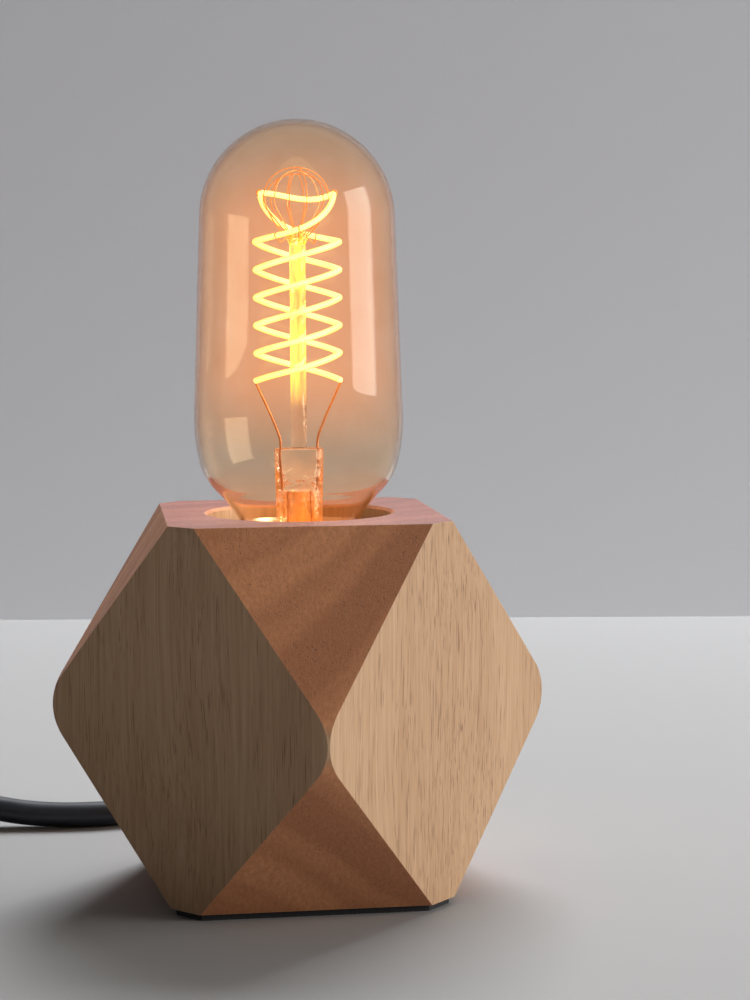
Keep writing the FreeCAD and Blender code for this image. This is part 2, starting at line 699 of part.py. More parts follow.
def bulb_cap():
    inner = "cap_radius - cap_wall"
    turned("cap_shell", [
        (inner, "cap_skirt"), ("cap_radius - 0.6", "cap_skirt - 0.6"), ("cap_radius", "cap_skirt"),
        ("cap_radius", "cap_height - 0.8"), ("cap_rim", "cap_height"), ("cap_rim - cap_wall", "cap_height"),
        (inner, "cap_height - 0.8"),
    ], z=BULB_TIP)
    turned("cap_insulator", [
        ("1.2", "0.9"), ("eyelet_radius + 0.3", "0.9"), ("cap_radius - 2", "cap_skirt - 0.9"),
        ("cap_radius - 0.95", "cap_skirt - 0.2"), (f"{inner} - 0.05", "cap_skirt + 0.4"),
        (f"{inner} - 0.05", "cap_skirt + 1.6"), ("1.2", "insulator_height"),
    ], z=BULB_TIP)
    turned("cap_contact", [
        ("0", "0"), ("eyelet_radius - 1.2", "0"), ("eyelet_radius", "eyelet_height - 0.45"),
        ("eyelet_radius", "0.85"), ("1.15", "0.85"), ("1.15", "insulator_height - 0.2"),
        ("0", "insulator_height - 0.2"),
    ], z=BULB_TIP)
    turned("cap_cement", [
        ("neck_radius + 0.05", "0"), (f"{inner} - 0.05", "0"), (f"{inner} - 0.05", "neck_depth - 4"),
        ("neck_radius + 0.3", "neck_depth - 4"),
    ], z=f"{BULB_TIP} + cap_height - neck_depth + 1")


FLARE = "cap_height - neck_depth + 1.2"
STEM_CAVITY = "stem_top - press_height"


def glass_mount():
    """Flared glass tube, fused to the neck, whose top is pinched flat round the lead wires. A thin tube
    for pumping out the air hangs sealed inside it."""
    outer, inner = "stem_radius", "stem_radius - stem_wall"
    curl = "flare_radius - stem_radius"
    stem = new_body("glass_stem", z=BULB_TIP)
    turn(stem, [
        ("flare_radius", f"{FLARE} - stem_wall", f"{curl} + stem_wall"), ("flare_radius", FLARE),
        (outer, f"{FLARE} + {curl}", f"-({curl})"), (outer, f"{STEM_CAVITY} + 1"),
        ("press_depth / 2", f"{STEM_CAVITY} + 3"), ("0", f"{STEM_CAVITY} + 3"), ("0", STEM_CAVITY),
        (inner, f"{STEM_CAVITY} - 1.4"), (inner, f"{FLARE} + {curl}"),
    ])
    press = new_sketch(stem, "XY_Plane", f"{STEM_CAVITY} + 1")
    half, deep = "press_width / 2", "press_depth / 2"
    straight = f"{half} - {deep} + 0.4"
    add_loop(press, [
        (f"-({straight})", f"-({deep})", "press_depth / 2 + 0.04"), (straight, f"-({deep})"),
        (straight, deep, "press_depth / 2 + 0.04"), (f"-({straight})", deep),
    ])
    pad(stem, press, "press_height - 1")
    turned("exhaust_tube", [
        ("0", "0"), ("exhaust_radius - 0.7", "0"), ("exhaust_radius", "1.2"),
        ("exhaust_radius", "exhaust_length"), ("exhaust_radius - 0.7", "exhaust_length"),
        ("exhaust_radius - 0.7", "1.6"), ("0", "1"),
    ], z=f"{BULB_TIP} + {STEM_CAVITY} - 1.4 * exhaust_radius / ({inner}) - exhaust_length - 0.02")


def support_rod():
    foot = f"{BULB_TIP} + stem_top"
    turned("support_rod", [
        ("0", "0"), ("rod_radius", "0"), ("rod_radius", "rod_length - 3.4"),
        ("button_radius", "rod_length - 2"), ("button_radius", "rod_length - 1.4"),
        ("button_radius - 1.2", "rod_length"), ("0", "rod_length"),
    ], z=foot)


TURN_STEPS, CROWN_STEPS = 12, 7


def filament_points():
    """Two right-handed helices, half a turn apart, that run into each other over the crown. The list goes
    up the one that starts on the right, across, and down the one that starts on the left."""
    radius = value("coil_radius")
    pitch, turns = value("coil_pitch"), value("coil_turns")
    low = value(f"{BULB_TIP} + coil_start")
    crown = value("coil_crown")

    def strand(start_angle):
        points = []
        for step in range(int(turns * TURN_STEPS) + 1):
            share = step / TURN_STEPS
            angle = start_angle + 2 * math.pi * share
            points.append((radius * math.cos(angle), radius * math.sin(angle), low + pitch * share))
        for step in range(1, CROWN_STEPS + 1):
            share = step / CROWN_STEPS
            angle = start_angle + 2 * math.pi * turns + math.pi * share
            reach = radius * (1 - 0.25 * math.sin(math.pi * share)) - 1.2 * share
            rise = crown * (0.43 * share + 0.57 * share**4)
            points.append((reach * math.cos(angle), reach * math.sin(angle), low + pitch * turns + rise))
        return points

    right, left = strand(0.0), strand(math.pi)
    start, end = FreeCAD.Vector(*right[-1]), FreeCAD.Vector(*left[-1])
    middle = [tuple(start + (end - start) * share + FreeCAD.Vector(0, 0, -sag))
              for share, sag in ((0.22, 1.4), (0.45, 1.1), (0.7, 0.3))]
    return right + middle + left[::-1]


def filament_and_wires():
    points = filament_points()
    new_feature("filament", bent_wire(points, value("coil_wire")))

    # One lead wire each side. The left one comes from the eyelet, the right one from the cap's shell, and
    # both run up the flared tube, through the press and out to the filament's ends.
    cap, top = value(BULB_TIP), value(f"{BULB_TIP} + stem_top")
    eyelet = (-0.5, 0, cap + value("insulator_height") - 0.15)
    shell = (value("cap_radius - cap_wall - 0.3"), 0, cap + 13.0)
    starts = {1: [shell, (8.5, 0, cap + 11.0), (4.2, 0, cap + 12.5), (3.0, 0, cap + 20)],
              -1: [eyelet, (-0.6, 0, cap + 6.5), (-2.9, 0, cap + 10.5), (-3.0, 0, cap + 20)]}
    wires = []
    for side, end in ((1, points[0]), (-1, points[-1])):
        reach = (value("coil_wire") + value("lead_wire")) / 2 + 0.02
        route = starts[side] + [
            (3.0 * side, 0, cap + 30), (3.6 * side, 0, top - 5), (4.0 * side, 0, top - 1),
            (4.0 * side, 0, top + 2.0), (6.0 * side, 0, top + 7.0), (end[0], end[1], end[2] - reach)]
        wires.append(bent_wire(route, value("lead_wire")))
    new_feature("lead_wires", Part.makeCompound(wires))

    # Hooks fanning out of the rod's button to the crown's two corners.
    button = FreeCAD.Vector(0, 0, value(f"{BULB_TIP} + stem_top + rod_length - 1.8"))
    half = value("coil_wire") / 2 + value("hook_wire") / 2
    corner_step = int(value("coil_turns") * TURN_STEPS) + CROWN_STEPS
    crown_right, crown_left = points[corner_step], points[-(corner_step + 1)]
    hooks = []
    for corner in (crown_right, crown_left):
        target = FreeCAD.Vector(*corner)
        outward = FreeCAD.Vector(corner[0], corner[1], 0).normalize()
        route = [button + outward * (value("button_radius") - 0.6),
                 button + outward * 4 + FreeCAD.Vector(0, 0, 0.8),
                 target - outward * 1.2 + FreeCAD.Vector(0, 0, -2.6), target + FreeCAD.Vector(0, 0, -half)]
        hooks.append(bent_wire(route, value("hook_wire")))
    new_feature("support_hooks", Part.makeCompound(hooks))


# ---- Lead, clamp and wires in the block ----

def lead_and_clamp():
    tube("lead_inlet", INLET_ROUTE, "lead_diameter")
    tube("lamp_lead", LAMP_LEAD_ROUTE, "lead_diameter")
    tube("plug_lead", PLUG_LEAD_ROUTE, "lead_diameter")
    tube("plug_lead_tail", TAIL_ROUTE, "lead_diameter")

    bar = new_body("lead_clamp", z="pad_thickness")
    outline = new_sketch(bar, "XY_Plane")
    add_loop(outline, rectangle("clamp_length / 2", "clamp_width / 2", y="clamp_back"))
    pad(bar, outline, "clamp_thickness - 0.05")
    holes = new_sketch(bar, "XY_Plane")
    screws = new_body("clamp_screws", z="pad_thickness + 0.05")
    shanks = new_sketch(screws, "XY_Plane")
    for side in "-+":
        spot = {"x": f"{side} clamp_screw_spacing / 2", "y": "clamp_back"}
        add_circle(holes, "clamp_screw_diameter / 2 + 0.05", **spot)
        add_circle(shanks, "clamp_screw_diameter / 2 - 0.02", **spot)
    pocket(bar, holes, upwards=True)
    pad(screws, shanks, "clamp_screw_length - 0.3")
    tip = value("clamp_screw_length - 0.3")
    round_edges(screws, "1", lambda middle, along: middle.z > tip - 0.01, kind="Chamfer")


def supply_wires():
    """Brown and blue conductors from the lead's stripped end up the threaded tube to the terminals."""
    tube_bottom, tube_top, core_top = value(NIPPLE_BOTTOM), value(NIPPLE_TOP), value(CORE_TOP)
    _, start_y, axis = INLET_ROUTE[0]
    beside = value("wire_diameter / 2 + 0.15")
    notch = value("cup_cavity / 2 - 2.2")
    end_x = value("terminal_reach - terminal_shank / 2 - strand_diameter / 2 - 0.1")
    rest = core_top + value("wire_diameter / 2 + 0.05")
    for name, side in (("live_wire", -1), ("neutral_wire", 1)):
        x = side * beside
        route = [
            (x, start_y - 0.05, axis), (x, 6.5, axis - 0.9), (x, 0.3, tube_bottom - 2.5),
            (x, 0.0, tube_top + 0.5), (x * 0.8, side * 5.4, tube_top + 1.9),
            (0.0, side * notch, tube_top + 2.1), (0.0, side * notch, core_top + 1.6),
            (side * 3.2, side * 9.2, rest + 0.6),
            (side * end_x, side * 6.8, rest), (side * end_x, side * 3.7, rest),
        ]
        sleeve = bent_wire(route, value("wire_diameter"))
        strand_start = FreeCAD.Vector(side * end_x, side * 4.0, rest)
        inwards = FreeCAD.Vector(0, -side, 0)
        strand = Part.makeCylinder(value("strand_diameter / 2"), 5.4, strand_start, inwards)
        new_feature(name, sleeve.fuse(strand).removeSplitter())


# ---- In-line switch ----

def switch_outline(inset="0"):
    half, shoulder = f"switch_length / 2 - {inset}", "switch_shoulder"
    wide, narrow = f"switch_width / 2 - {inset}", f"switch_end_width / 2 - {inset}"
    return [(half, f"-({narrow})"), (half, narrow), (shoulder, wide), (f"-({shoulder})", wide),
            (f"-({half})", narrow), (f"-({half})", f"-({narrow})"), (f"-({shoulder})", f"-({wide})"),
            (shoulder, f"-({wide})")]


def upright(middle, along):
    return abs(along.z) > 0.99


def lead_slots(body):
    """Round way for the lead at each end, narrower further in where only its conductors go."""
    for start, radius in (("switch_length / 2 - 3.05", "lead_diameter / 2 + 0.05"),
                          ("switch_shoulder - 1", "2.6")):
        slot = new_sketch(body, "YZ_Plane", start)
        add_circle(slot, radius, y="switch_lead_height")
        polar(body, pocket(body, slot, upwards=True), 2)


def in_line_switch():
    x, y = str(SWITCH_CENTRE[0]), str(SWITCH_CENTRE[1])
    wall = "switch_wall"
    split = "switch_lead_height"

    # Lower shell: a tray with two posts under the contacts and two screw holes.
    base = new_body("switch_base", x, y)
    outline = new_sketch(base, "XY_Plane")
    add_loop(outline, switch_outline())
    pad(base, outline, split)
    round_edges(base, "2", upright)
    round_edges(base, "0.8", lambda middle, along: middle.z < 0.01)
    hollow = new_sketch(base, "XY_Plane", wall)
    add_loop(hollow, rectangle("switch_shoulder", f"switch_width / 2 - {wall}"))
    pocket(base, hollow, upwards=True)
    posts = new_sketch(base, "XY_Plane", f"{wall} - 0.1")
    for side in "-+":
        add_loop(posts, rectangle("2.4", "2.4", x=f"{side} 10"))
    pad(base, posts, f"{split} - {wall} - 0.4")
    holes = new_sketch(base, "XY_Plane")
    heads = new_sketch(base, "XY_Plane")
    for side in "-+":
        spot = {"x": f"{side} switch_screw_x", "y": f"{side} switch_screw_y"}
        add_circle(holes, "switch_screw_shank / 2 + 0.1", **spot)
        add_circle(heads, "switch_screw_head / 2 + 0.15", **spot)
    pocket(base, holes, upwards=True)
    pocket(base, heads, "switch_screw_head_height + 0.2", upwards=True)
    lead_slots(base)

    # Upper shell: hollow, rounded over, with the rocker's window and a collar that holds its trunnions.
    cover = new_body("switch_cover", x, y)
    outline = new_sketch(cover, "XY_Plane", split)
    add_loop(outline, switch_outline())
    pad(cover, outline, f"switch_height - {split}")
    round_edges(cover, "2", upright)
    top = value("switch_height")
    round_edges(cover, "1.8", lambda middle, along: middle.z > top - 0.01)
    window_x, window_y = "rocker_length / 2 + rocker_gap", "rocker_width / 2 + rocker_gap"
    hollow = new_sketch(cover, "XY_Plane", split)
    add_loop(hollow, rectangle("switch_shoulder", f"switch_width / 2 - {wall}"))
    pocket(cover, hollow, f"switch_height - {split} - {wall}", upwards=True)
    collar = new_sketch(cover, "XY_Plane", "switch_height - 0.9")
    add_loop(collar, rectangle(f"{window_x} + 1.6", f"{window_y} + 1.6"))
    pad(cover, collar, "switch_height - 0.9 - rocker_pivot_height + 2.6", downwards=True)
    window = new_sketch(cover, "XY_Plane", "switch_height")
    add_loop(window, rectangle(window_x, window_y))
    pocket(cover, window)
    bearing = new_sketch(cover, "XZ_Plane")
    add_circle(bearing, "trunnion_radius + trunnion_clearance", y="rocker_pivot_height")
    pocket(cover, bearing, f"2 * ({window_y} + trunnion_length + 0.2)", both_ways=True)
    holes = new_sketch(cover, "XY_Plane", split)
    for side in "-+":
        add_circle(holes, "switch_screw_shank / 2", x=f"{side} switch_screw_x", y=f"{side} switch_screw_y")
    pocket(cover, holes, f"switch_screw_length + switch_screw_head_height + 0.5 - {split}", upwards=True)
    lead_slots(cover)

    # Rocker: a shallow valley on top, a nose below that presses the contact, and a trunnion each side.
    rocker = new_body("rocker", x, y, "rocker_pivot_height")
    side_view = new_sketch(rocker, "XZ_Plane")
    half = "rocker_length / 2"
    add_loop(side_view, [
        (f"-({half})", "0.6"), ("-3.2", "-1.6"), ("-1.4", "-4.1"), ("1.4", "-4.1"), ("3.2", "-1.6"),
        (half, "0.6"), (f"{half} - 0.4", "rocker_rise"), ("0", "rocker_rise - rocker_valley"),
        (f"0.4 - {half}", "rocker_rise"),
    ])
    pad(rocker, side_view, "rocker_width", both_ways=True)
    trunnion = new_sketch(rocker, "XZ_Plane")
    add_circle(trunnion, "trunnion_radius")
    pad(rocker, trunnion, "rocker_width + 2 * (rocker_gap + trunnion_length)", both_ways=True)
    rocker.Placement.Rotation = FreeCAD.Rotation(FreeCAD.Vector(0, 1, 0), value("rocker_tilt"))

    # Contacts on the posts, and the screws that draw the shells together.
    for label, corners in (
        ("switch_leaf", [("-12.2", "0"), ("-7.4", "0"), ("-5.6", "0.45"), ("2.2", "0.45"), ("2.2", "0.85"),
                         ("-5.8", "0.85"), ("-7.6", "0.4"), ("-12.2", "0.4")]),
        ("switch_contact", [("0.6", "0"), ("12.2", "0"), ("12.2", "0.4"), ("0.6", "0.4")]),
    ):
        strip = new_body(label, x, y, f"{split} - 0.5 + 0.02")
        profile = new_sketch(strip, "XZ_Plane")
        add_loop(profile, corners)
        pad(strip, profile, "4", both_ways=True)
    screw_pair("switch_screws", "(switch_screw_shank - 0.04)", "switch_screw_head",
               "switch_screw_head_height", "switch_screw_length", ("switch_screw_x", "switch_screw_y"),
               (x, y, "switch_screw_head_height + 0.2"), heads_up=False)

    # Conductors: one passes straight through beside the contacts, the other is cut and ends on them.
    end, high = value("switch_length / 2 - 3.05"), value("switch_lead_height")
    through = [(end, 1.15, high), (15, 1.2, high), (14.4, 8.4, 4.6), (6, 8.8, 3.9), (-6, 8.8, 3.8),
               (-14.4, 8.4, 4.6), (-15, 1.2, high), (-end, 1.15, high)]
    on_contact = value(f"{split} - 0.08 + wire_diameter / 2") + 0.02
    cut = [(end, -1.15, high), (21, -1.2, high + 0.1), (16, -1.1, on_contact), (11.4, -1.1, on_contact)]
    mirrored = [(-px, py, pz) for px, py, pz in cut]
    wires = [bent_wire(route, value("wire_diameter")) for route in (through, cut, mirrored)]
    new_feature("switch_wires", Part.makeCompound(wires), (*SWITCH_CENTRE, 0))


# ---- Plug and the put-away coil ----

PIN_ROOT = "8"


def plug():
    x, y = (str(number) for number in PLUG_BACK)
    body = new_body("plug_body", x, y, "plug_thickness / 2")
    face, back = "plug_tail_length + plug_length", "plug_tail_length"
    plan = new_sketch(body, "XY_Plane")
    half = "plug_width / 2"
    bow = f"(({half} - 6.5)^2 + (plug_length - 8)^2) / (2 * ({half} - 6.5))"
    add_loop(plan, [
        ("6.5", back), (half, f"{face} - 8", bow), (half, face), (f"-({half})", face),
        (f"-({half})", f"{face} - 8"), ("-6.5", back, bow),
    ])
    pad(body, plan, "plug_thickness", both_ways=True)
    reach = value(half)
    front, back_end = value(face), value(back) + 0.01
    round_edges(body, "2", lambda middle, along: abs(middle.z) > 6.9 and back_end < middle.y < front - 0.01)
    tail = new_sketch(body, "XY_Plane")
    add_loop(tail, [("0", "0"), ("lead_diameter / 2 + 0.9", "0"), ("5.4", back), ("5.4", f"{back} + 2"),
                    ("0", f"{back} + 2")])
    taper = body.newObject("PartDesign::Revolution", "taper")
    taper.Profile = tail
    taper.ReferenceAxis = (tail, ["V_Axis"])
    taper.Angle = 360
    finish(body, taper)
    # Flex grooves round the tail.
    for step in range(4):
        low = 2.8 + 4.2 * step
        floor, start, end = f"{3.1 + 0.075 * low:.2f}", f"{low:.1f}", f"{low + 1.6:.1f}"
        outline = new_sketch(body, "XY_Plane")
        add_loop(outline, [(floor, start), ("9", start), ("9", end), (floor, end)])
        groove = body.newObject("PartDesign::Groove", "flex_groove")
        groove.Profile = outline
        groove.ReferenceAxis = (outline, ["V_Axis"])
        groove.Angle = 360
        finish(body, groove)
    pin_holes = new_sketch(body, "XZ_Plane", f"-({face})")
    for side in "-+":
        add_circle(pin_holes, "pin_core_radius + 0.02", x=f"{side} pin_spacing / 2")
    pocket(body, pin_holes, PIN_ROOT, upwards=True)

    # Brass pins, moulded into the face, and the plastic sleeves round their roots.
    pins = new_body("plug_pins", x, y, "plug_thickness / 2")
    cores = new_sketch(pins, "XZ_Plane", f"{PIN_ROOT} - ({face})")
    tips = new_sketch(pins, "XZ_Plane", f"-({face}) - sleeve_length")
    sleeves = new_body("pin_sleeves", x, y, "plug_thickness / 2")
    rings = new_sketch(sleeves, "XZ_Plane", f"-({face})")
    for side in "-+":
        across = f"{side} pin_spacing / 2"
        add_circle(cores, "pin_core_radius", x=across)
        add_circle(tips, "pin_radius", x=across)
        add_circle(rings, "pin_radius - 0.05", x=across)
        add_circle(rings, "pin_core_radius + 0.02", x=across)
    pad(pins, cores, f"{PIN_ROOT} + sleeve_length", downwards=True)
    pad(pins, tips, "pin_length - sleeve_length", downwards=True)
    end = value(f"{face} + pin_length")
    round_edges(pins, "1.2", lambda middle, along: middle.y > end - 0.01)
    pad(sleeves, rings, "sleeve_length", downwards=True)


def put_away_coil():
    x, y = (str(number) for number in COIL_CENTRE)
    outer = "put_away_turn + lead_diameter / 2"
    inner = "put_away_turn - (put_away_turns_across - 1) * put_away_spacing - lead_diameter / 2"
    high = "put_away_layers * lead_diameter + 0.1"
    slope = "lead_diameter / 4"
    turned("lead_coil", [
        (f"{outer} - {slope}", "0"), (outer, slope), (outer, f"{high} - {slope}"),
        (f"{outer} - {slope}", high), (f"{inner} + {slope}", high), (inner, f"{high} - {slope}"),
        (inner, slope), (f"{inner} + {slope}", "0"),
    ], x, y, "tie_thickness + 0.1")

    # Tie: a flat strap once round the bundle.
    tie = new_body("coil_tie", x, y)
    loop = new_sketch(tie, "XZ_Plane")
    middle = f"(({outer}) + ({inner})) / 2"
    half = f"(({outer}) - ({inner})) / 2 + 0.35"
    tall = f"{high} + 0.2"
    for grow in ("tie_thickness", "0"):
        low = f"tie_thickness - ({grow})"
        add_loop(loop, [
            (f"-({middle}) - ({half}) - ({grow})", low), (f"-({middle}) + ({half}) + ({grow})", low),
            (f"-({middle}) + ({half}) + ({grow})", f"tie_thickness + {tall} + {grow}"),
            (f"-({middle}) - ({half}) - ({grow})", f"tie_thickness + {tall} + {grow}"),
        ])
    pad(tie, loop, "tie_width", both_ways=True)
    tie.Placement.Rotation = FreeCAD.Rotation(FreeCAD.Vector(0, 0, 1), 130)


# ---- Build, check and write ----

wooden_block()
base_pad()
fixings()
holder()
screw_pair("terminal_screws", "terminal_shank", "terminal_head", "terminal_head_height", "core_height",
           ("terminal_reach", "0"), ("0", "0", f"{CORE_TOP} + strip_thickness + strand_diameter + 0.2"))
bulb_glass()
bulb_cap()
glass_mount()
support_rod()
filament_and_wires()
lead_and_clamp()
supply_wires()
in_line_switch()
plug()
put_away_coil()

doc.recompute()
for thing in doc.Objects:
    if "Invalid" in thing.State or "Error" in thing.State:
        raise RuntimeError(f"{thing.Label} failed: {thing.State}")
for piece in pieces:
    if piece.Shape.isNull() or not piece.Shape.isValid():
        raise RuntimeError(f"{piece.Label}: bad shape")
os.makedirs("parts", exist_ok=True)
for piece in pieces:
    piece.Shape.exportStep(f"parts/{piece.Label}.step")
print(f"{len(pieces)} pieces written")
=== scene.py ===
# %% [markdown]
# # A bare bulb table lamp
# The lamp is a faceted block of pale wood with a screw holder sunk in its top, a tubular filament bulb, and
# a black lead with a switch and a plug. The engineering model already fixes every size and every joint, so
# this script only adds looks: it loads that model as a frame, hides the few parts whose shape there is too
# plain, and puts finer surfaces in their place. All lengths are in metres, and +Z is up.

# %% Load the frame
import math
import bmesh
import bpy
import numpy as np
from mathutils import Matrix, Vector


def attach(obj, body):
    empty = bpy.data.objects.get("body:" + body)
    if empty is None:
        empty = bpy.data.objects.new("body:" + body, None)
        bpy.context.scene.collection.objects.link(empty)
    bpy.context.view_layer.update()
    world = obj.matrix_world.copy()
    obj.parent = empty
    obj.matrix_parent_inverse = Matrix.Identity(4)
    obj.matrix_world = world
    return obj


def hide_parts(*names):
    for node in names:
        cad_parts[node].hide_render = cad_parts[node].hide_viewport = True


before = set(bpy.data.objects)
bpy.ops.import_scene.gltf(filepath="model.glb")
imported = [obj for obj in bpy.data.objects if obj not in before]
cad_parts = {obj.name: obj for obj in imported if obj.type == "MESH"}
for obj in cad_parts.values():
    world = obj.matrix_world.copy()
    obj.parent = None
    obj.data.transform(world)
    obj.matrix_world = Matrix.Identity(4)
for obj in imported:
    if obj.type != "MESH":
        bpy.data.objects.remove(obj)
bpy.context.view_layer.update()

# %% [markdown]
# ## The camera
# The photograph looks slightly down at the block from a little left of its middle. The direction was found
# by matching the block's corners, so it is written as three turns: yaw to the right of +Y, pitch down, and
# a very small roll. The focal length is for a 36 mm sensor along the tall side of a 750 by 1000 picture.

# %% Camera
scene = bpy.context.scene


def add_object(name, data):
    """Object made from a mesh, curve, light or camera, and linked to the scene."""
    made = bpy.data.objects.new(name, data)
    scene.collection.objects.link(made)
    return made


EYE = Vector((-0.04457, -0.45024, 0.1275))
YAW, PITCH, ROLL = 0.135, 0.096, 0.005
forward = Vector((math.sin(YAW) * math.cos(PITCH), math.cos(YAW) * math.cos(PITCH), -math.sin(PITCH)))
level_right = Vector((math.cos(YAW), -math.sin(YAW), 0.0))
level_down = forward.cross(level_right)
right = level_right * math.cos(ROLL) + level_down * math.sin(ROLL)
down = -level_right * math.sin(ROLL) + level_down * math.cos(ROLL)
camera_data = bpy.data.cameras.new("camera")
camera_data.lens = 75.23
camera_data.sensor_fit = "VERTICAL"
camera_data.sensor_height = 36.0
camera_data.clip_start = 0.01
camera = add_object("camera", camera_data)
camera.matrix_world = Matrix((right, -down, -forward)).transposed().to_4x4()
camera.location = EYE
scene.camera = camera
scene.view_settings.view_transform = "Standard"
print("camera looks along", [round(number, 3) for number in forward])

# %% [markdown]
# ## The lead
# A real lead is one flexible cord, so each free stretch is one smooth curve through the air and over the
# table rather than a chain of tubes. The points are its route: straight out of the block, down on to the
# table, along it to the switch, and from the switch to the plug. What the picture doesn't show is put away
# as six turns under a tie. A NURBS curve of order 3 rounds every corner by itself. Its jacket is an empty
# material for now, and is finished with the other plastics.

# %% A cord as one open curve
LEAD_DIAMETER = 0.006
lead_jacket = bpy.data.materials.new("lead_jacket")


def lay_cord(name, points):
    """Open quadratic NURBS curve with the route's points in millimetres as its control points. It gets its
    material before it is linked, because a later one spoils the size that Blender gives for a curve."""
    data = bpy.data.curves.new(name, "CURVE")
    data.dimensions = "3D"
    spline = data.splines.new("NURBS")
    spline.points.add(len(points) - 1)
    flat = np.column_stack([np.array(points) / 1000.0, np.ones(len(points))])
    spline.points.foreach_set("co", flat.ravel())
    spline.order_u = 3
    spline.use_endpoint_u = True
    spline.resolution_u = 8
    data.bevel_depth = LEAD_DIAMETER / 2
    data.bevel_resolution = 5
    data.use_fill_caps = True
    data.materials.append(lead_jacket)
    cord = add_object(name, data)
    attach(cord, "base")
    print(name, "has", len(points), "points")
    return cord


# %% Lead from the block to the switch
lamp_lead = lay_cord("lamp_lead_curve", [
    (0.0, 31.0, 5.8), (0.0, 42.0, 5.8), (-6.0, 53.5, 4.6), (-18.0, 59.0, 3.3), (-30.5, 56.6, 3.05),
    (-42.5, 53.0, 3.05), (-56.5, 53.9, 3.05), (-68.5, 56.2, 4.4), (-80.0, 58.2, 7.5), (-91.0, 58.2, 7.5),
])
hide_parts("lamp_lead")

# %% [markdown]
# ## The put-away turns
# The spare lead is wound as a person would wind it: three turns side by side on the table, each inside the
# last, then up on to them and out again. The radius stays the same for most of a turn and steps over by
# one cord where all the turns step together, so they keep a cord's width apart and never run through each
# other. The table below gives the angle walked so far against the radius and the height.

# %% Lead from the switch through the coil to the plug
COIL_MIDDLE = (-150.1, -1.5)
COIL_START, COIL_END = 180.0, 2350.0
WALKED = [180, 460, 540, 820, 900, 1180, 1260, 1275, 1345, 1410, 1640, 1720, 2000, 2080, 2340, 2354]
RADIUS = [42.5, 42.5, 36.4, 36.4, 30.3, 30.3, 24.2, 24.2, 24.2, 30.3, 30.3, 36.4, 36.4, 42.5, 42.5, 43.2]
HEIGHT = [3.8, 3.8, 3.8, 3.8, 3.8, 3.8, 3.8, 3.8, 9.9, 9.9, 9.9, 9.9, 9.9, 9.9, 9.9, 9.9]
POINTS_PER_TURN = 18


def coil_points():
    """Points on a stepped spiral: (middle + radius cos angle, middle + radius sin angle, height). The curve
    reaches only 3/4 + 1/4 cos step of its control points' radius, so the radius is divided by that."""
    step = 360.0 / POINTS_PER_TURN
    walked = np.arange(COIL_START + 0.5 * step, COIL_END, step)
    swell = 1.0 / (0.75 + 0.25 * math.cos(math.radians(step)))
    radius = np.interp(walked, WALKED, RADIUS) * swell
    angle = np.radians(walked)
    return np.column_stack([
        COIL_MIDDLE[0] + radius * np.cos(angle), COIL_MIDDLE[1] + radius * np.sin(angle),
        np.interp(walked, WALKED, HEIGHT),
    ]).tolist()


to_coil = [
    (-145.0, 58.2, 7.5), (-156.0, 58.2, 7.5), (-168.0, 56.0, 4.9), (-179.5, 49.2, 3.8),
    (-187.6, 38.8, 3.8), (-192.0, 26.5, 3.8), (-193.4, 14.0, 3.8),
]
to_plug = [
    (-190.3, -26.1, 9.9), (-182.4, -39.2, 7.6), (-169.6, -49.8, 4.9),
    (-154.5, -55.4, 3.3), (-139.5, -57.6, 3.05), (-125.0, -58.0, 3.05), (-111.5, -56.2, 3.1),
    (-99.6, -51.0, 3.5), (-90.9, -42.2, 4.8), (-86.8, -32.0, 6.6), (-86.0, -23.0, 7.0),
]
plug_lead = lay_cord("plug_lead_curve", to_coil + coil_points() + to_plug)
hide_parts("plug_lead", "lead_coil", "plug_lead_tail")

# %% [markdown]
# ## Making surfaces from arrays
# Every new piece is a grid of points worked out at once with numpy. One function turns such a grid into a
# mesh, joins the places where points meet (a seam, or the tip of a dome), and lets the piece ride on its
# body. Two more functions make the grids that are needed most: a profile turned round an upright axis, and
# a round section carried along a path.

# %% Grid of points to mesh
def grid_faces(rows, columns, first=0, ring=False):
    """Quads (r, c), (r, c + 1), (r + 1, c + 1), (r + 1, c); columns always close, rows close for a ring."""
    r, c = np.meshgrid(np.arange(rows if ring else rows - 1), np.arange(columns), indexing="ij")
    r2, c2 = (r + 1) % rows, (c + 1) % columns
    corners = [r * columns + c, r * columns + c2, r2 * columns + c2, r2 * columns + c]
    return np.stack(corners, axis=-1).reshape(-1, 4) + first


def make_piece(name, grids, body, material, replaces=(), ring=False):
    """Mesh from one grid or several, each of shape (rows, columns, 3) in metres, smooth and with its
    doubled points merged."""
    grids = grids if isinstance(grids, list) else [grids]
    faces, first = [], 0
    for grid in grids:
        faces.append(grid_faces(grid.shape[0], grid.shape[1], first, ring))
        first += grid.shape[0] * grid.shape[1]
    mesh = bpy.data.meshes.new(name)
    points = np.concatenate([grid.reshape(-1, 3) for grid in grids])
    mesh.from_pydata(points.tolist(), [], np.concatenate(faces).tolist())
    shape = bmesh.new()
    shape.from_mesh(mesh)
    bmesh.ops.remove_doubles(shape, verts=shape.verts, dist=1e-7)
    bmesh.ops.delete(shape, geom=[edge for edge in shape.edges if not edge.link_faces], context="EDGES")
    shape.to_mesh(mesh)
    shape.free()
    mesh.shade_smooth()
    mesh.set_sharp_from_angle(angle=math.radians(40))
    mesh.materials.append(material)
    piece = add_object(name, mesh)
    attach(piece, body)
    if replaces:
        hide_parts(*replaces)
    print(name, "-", len(mesh.polygons), "faces")
    return piece


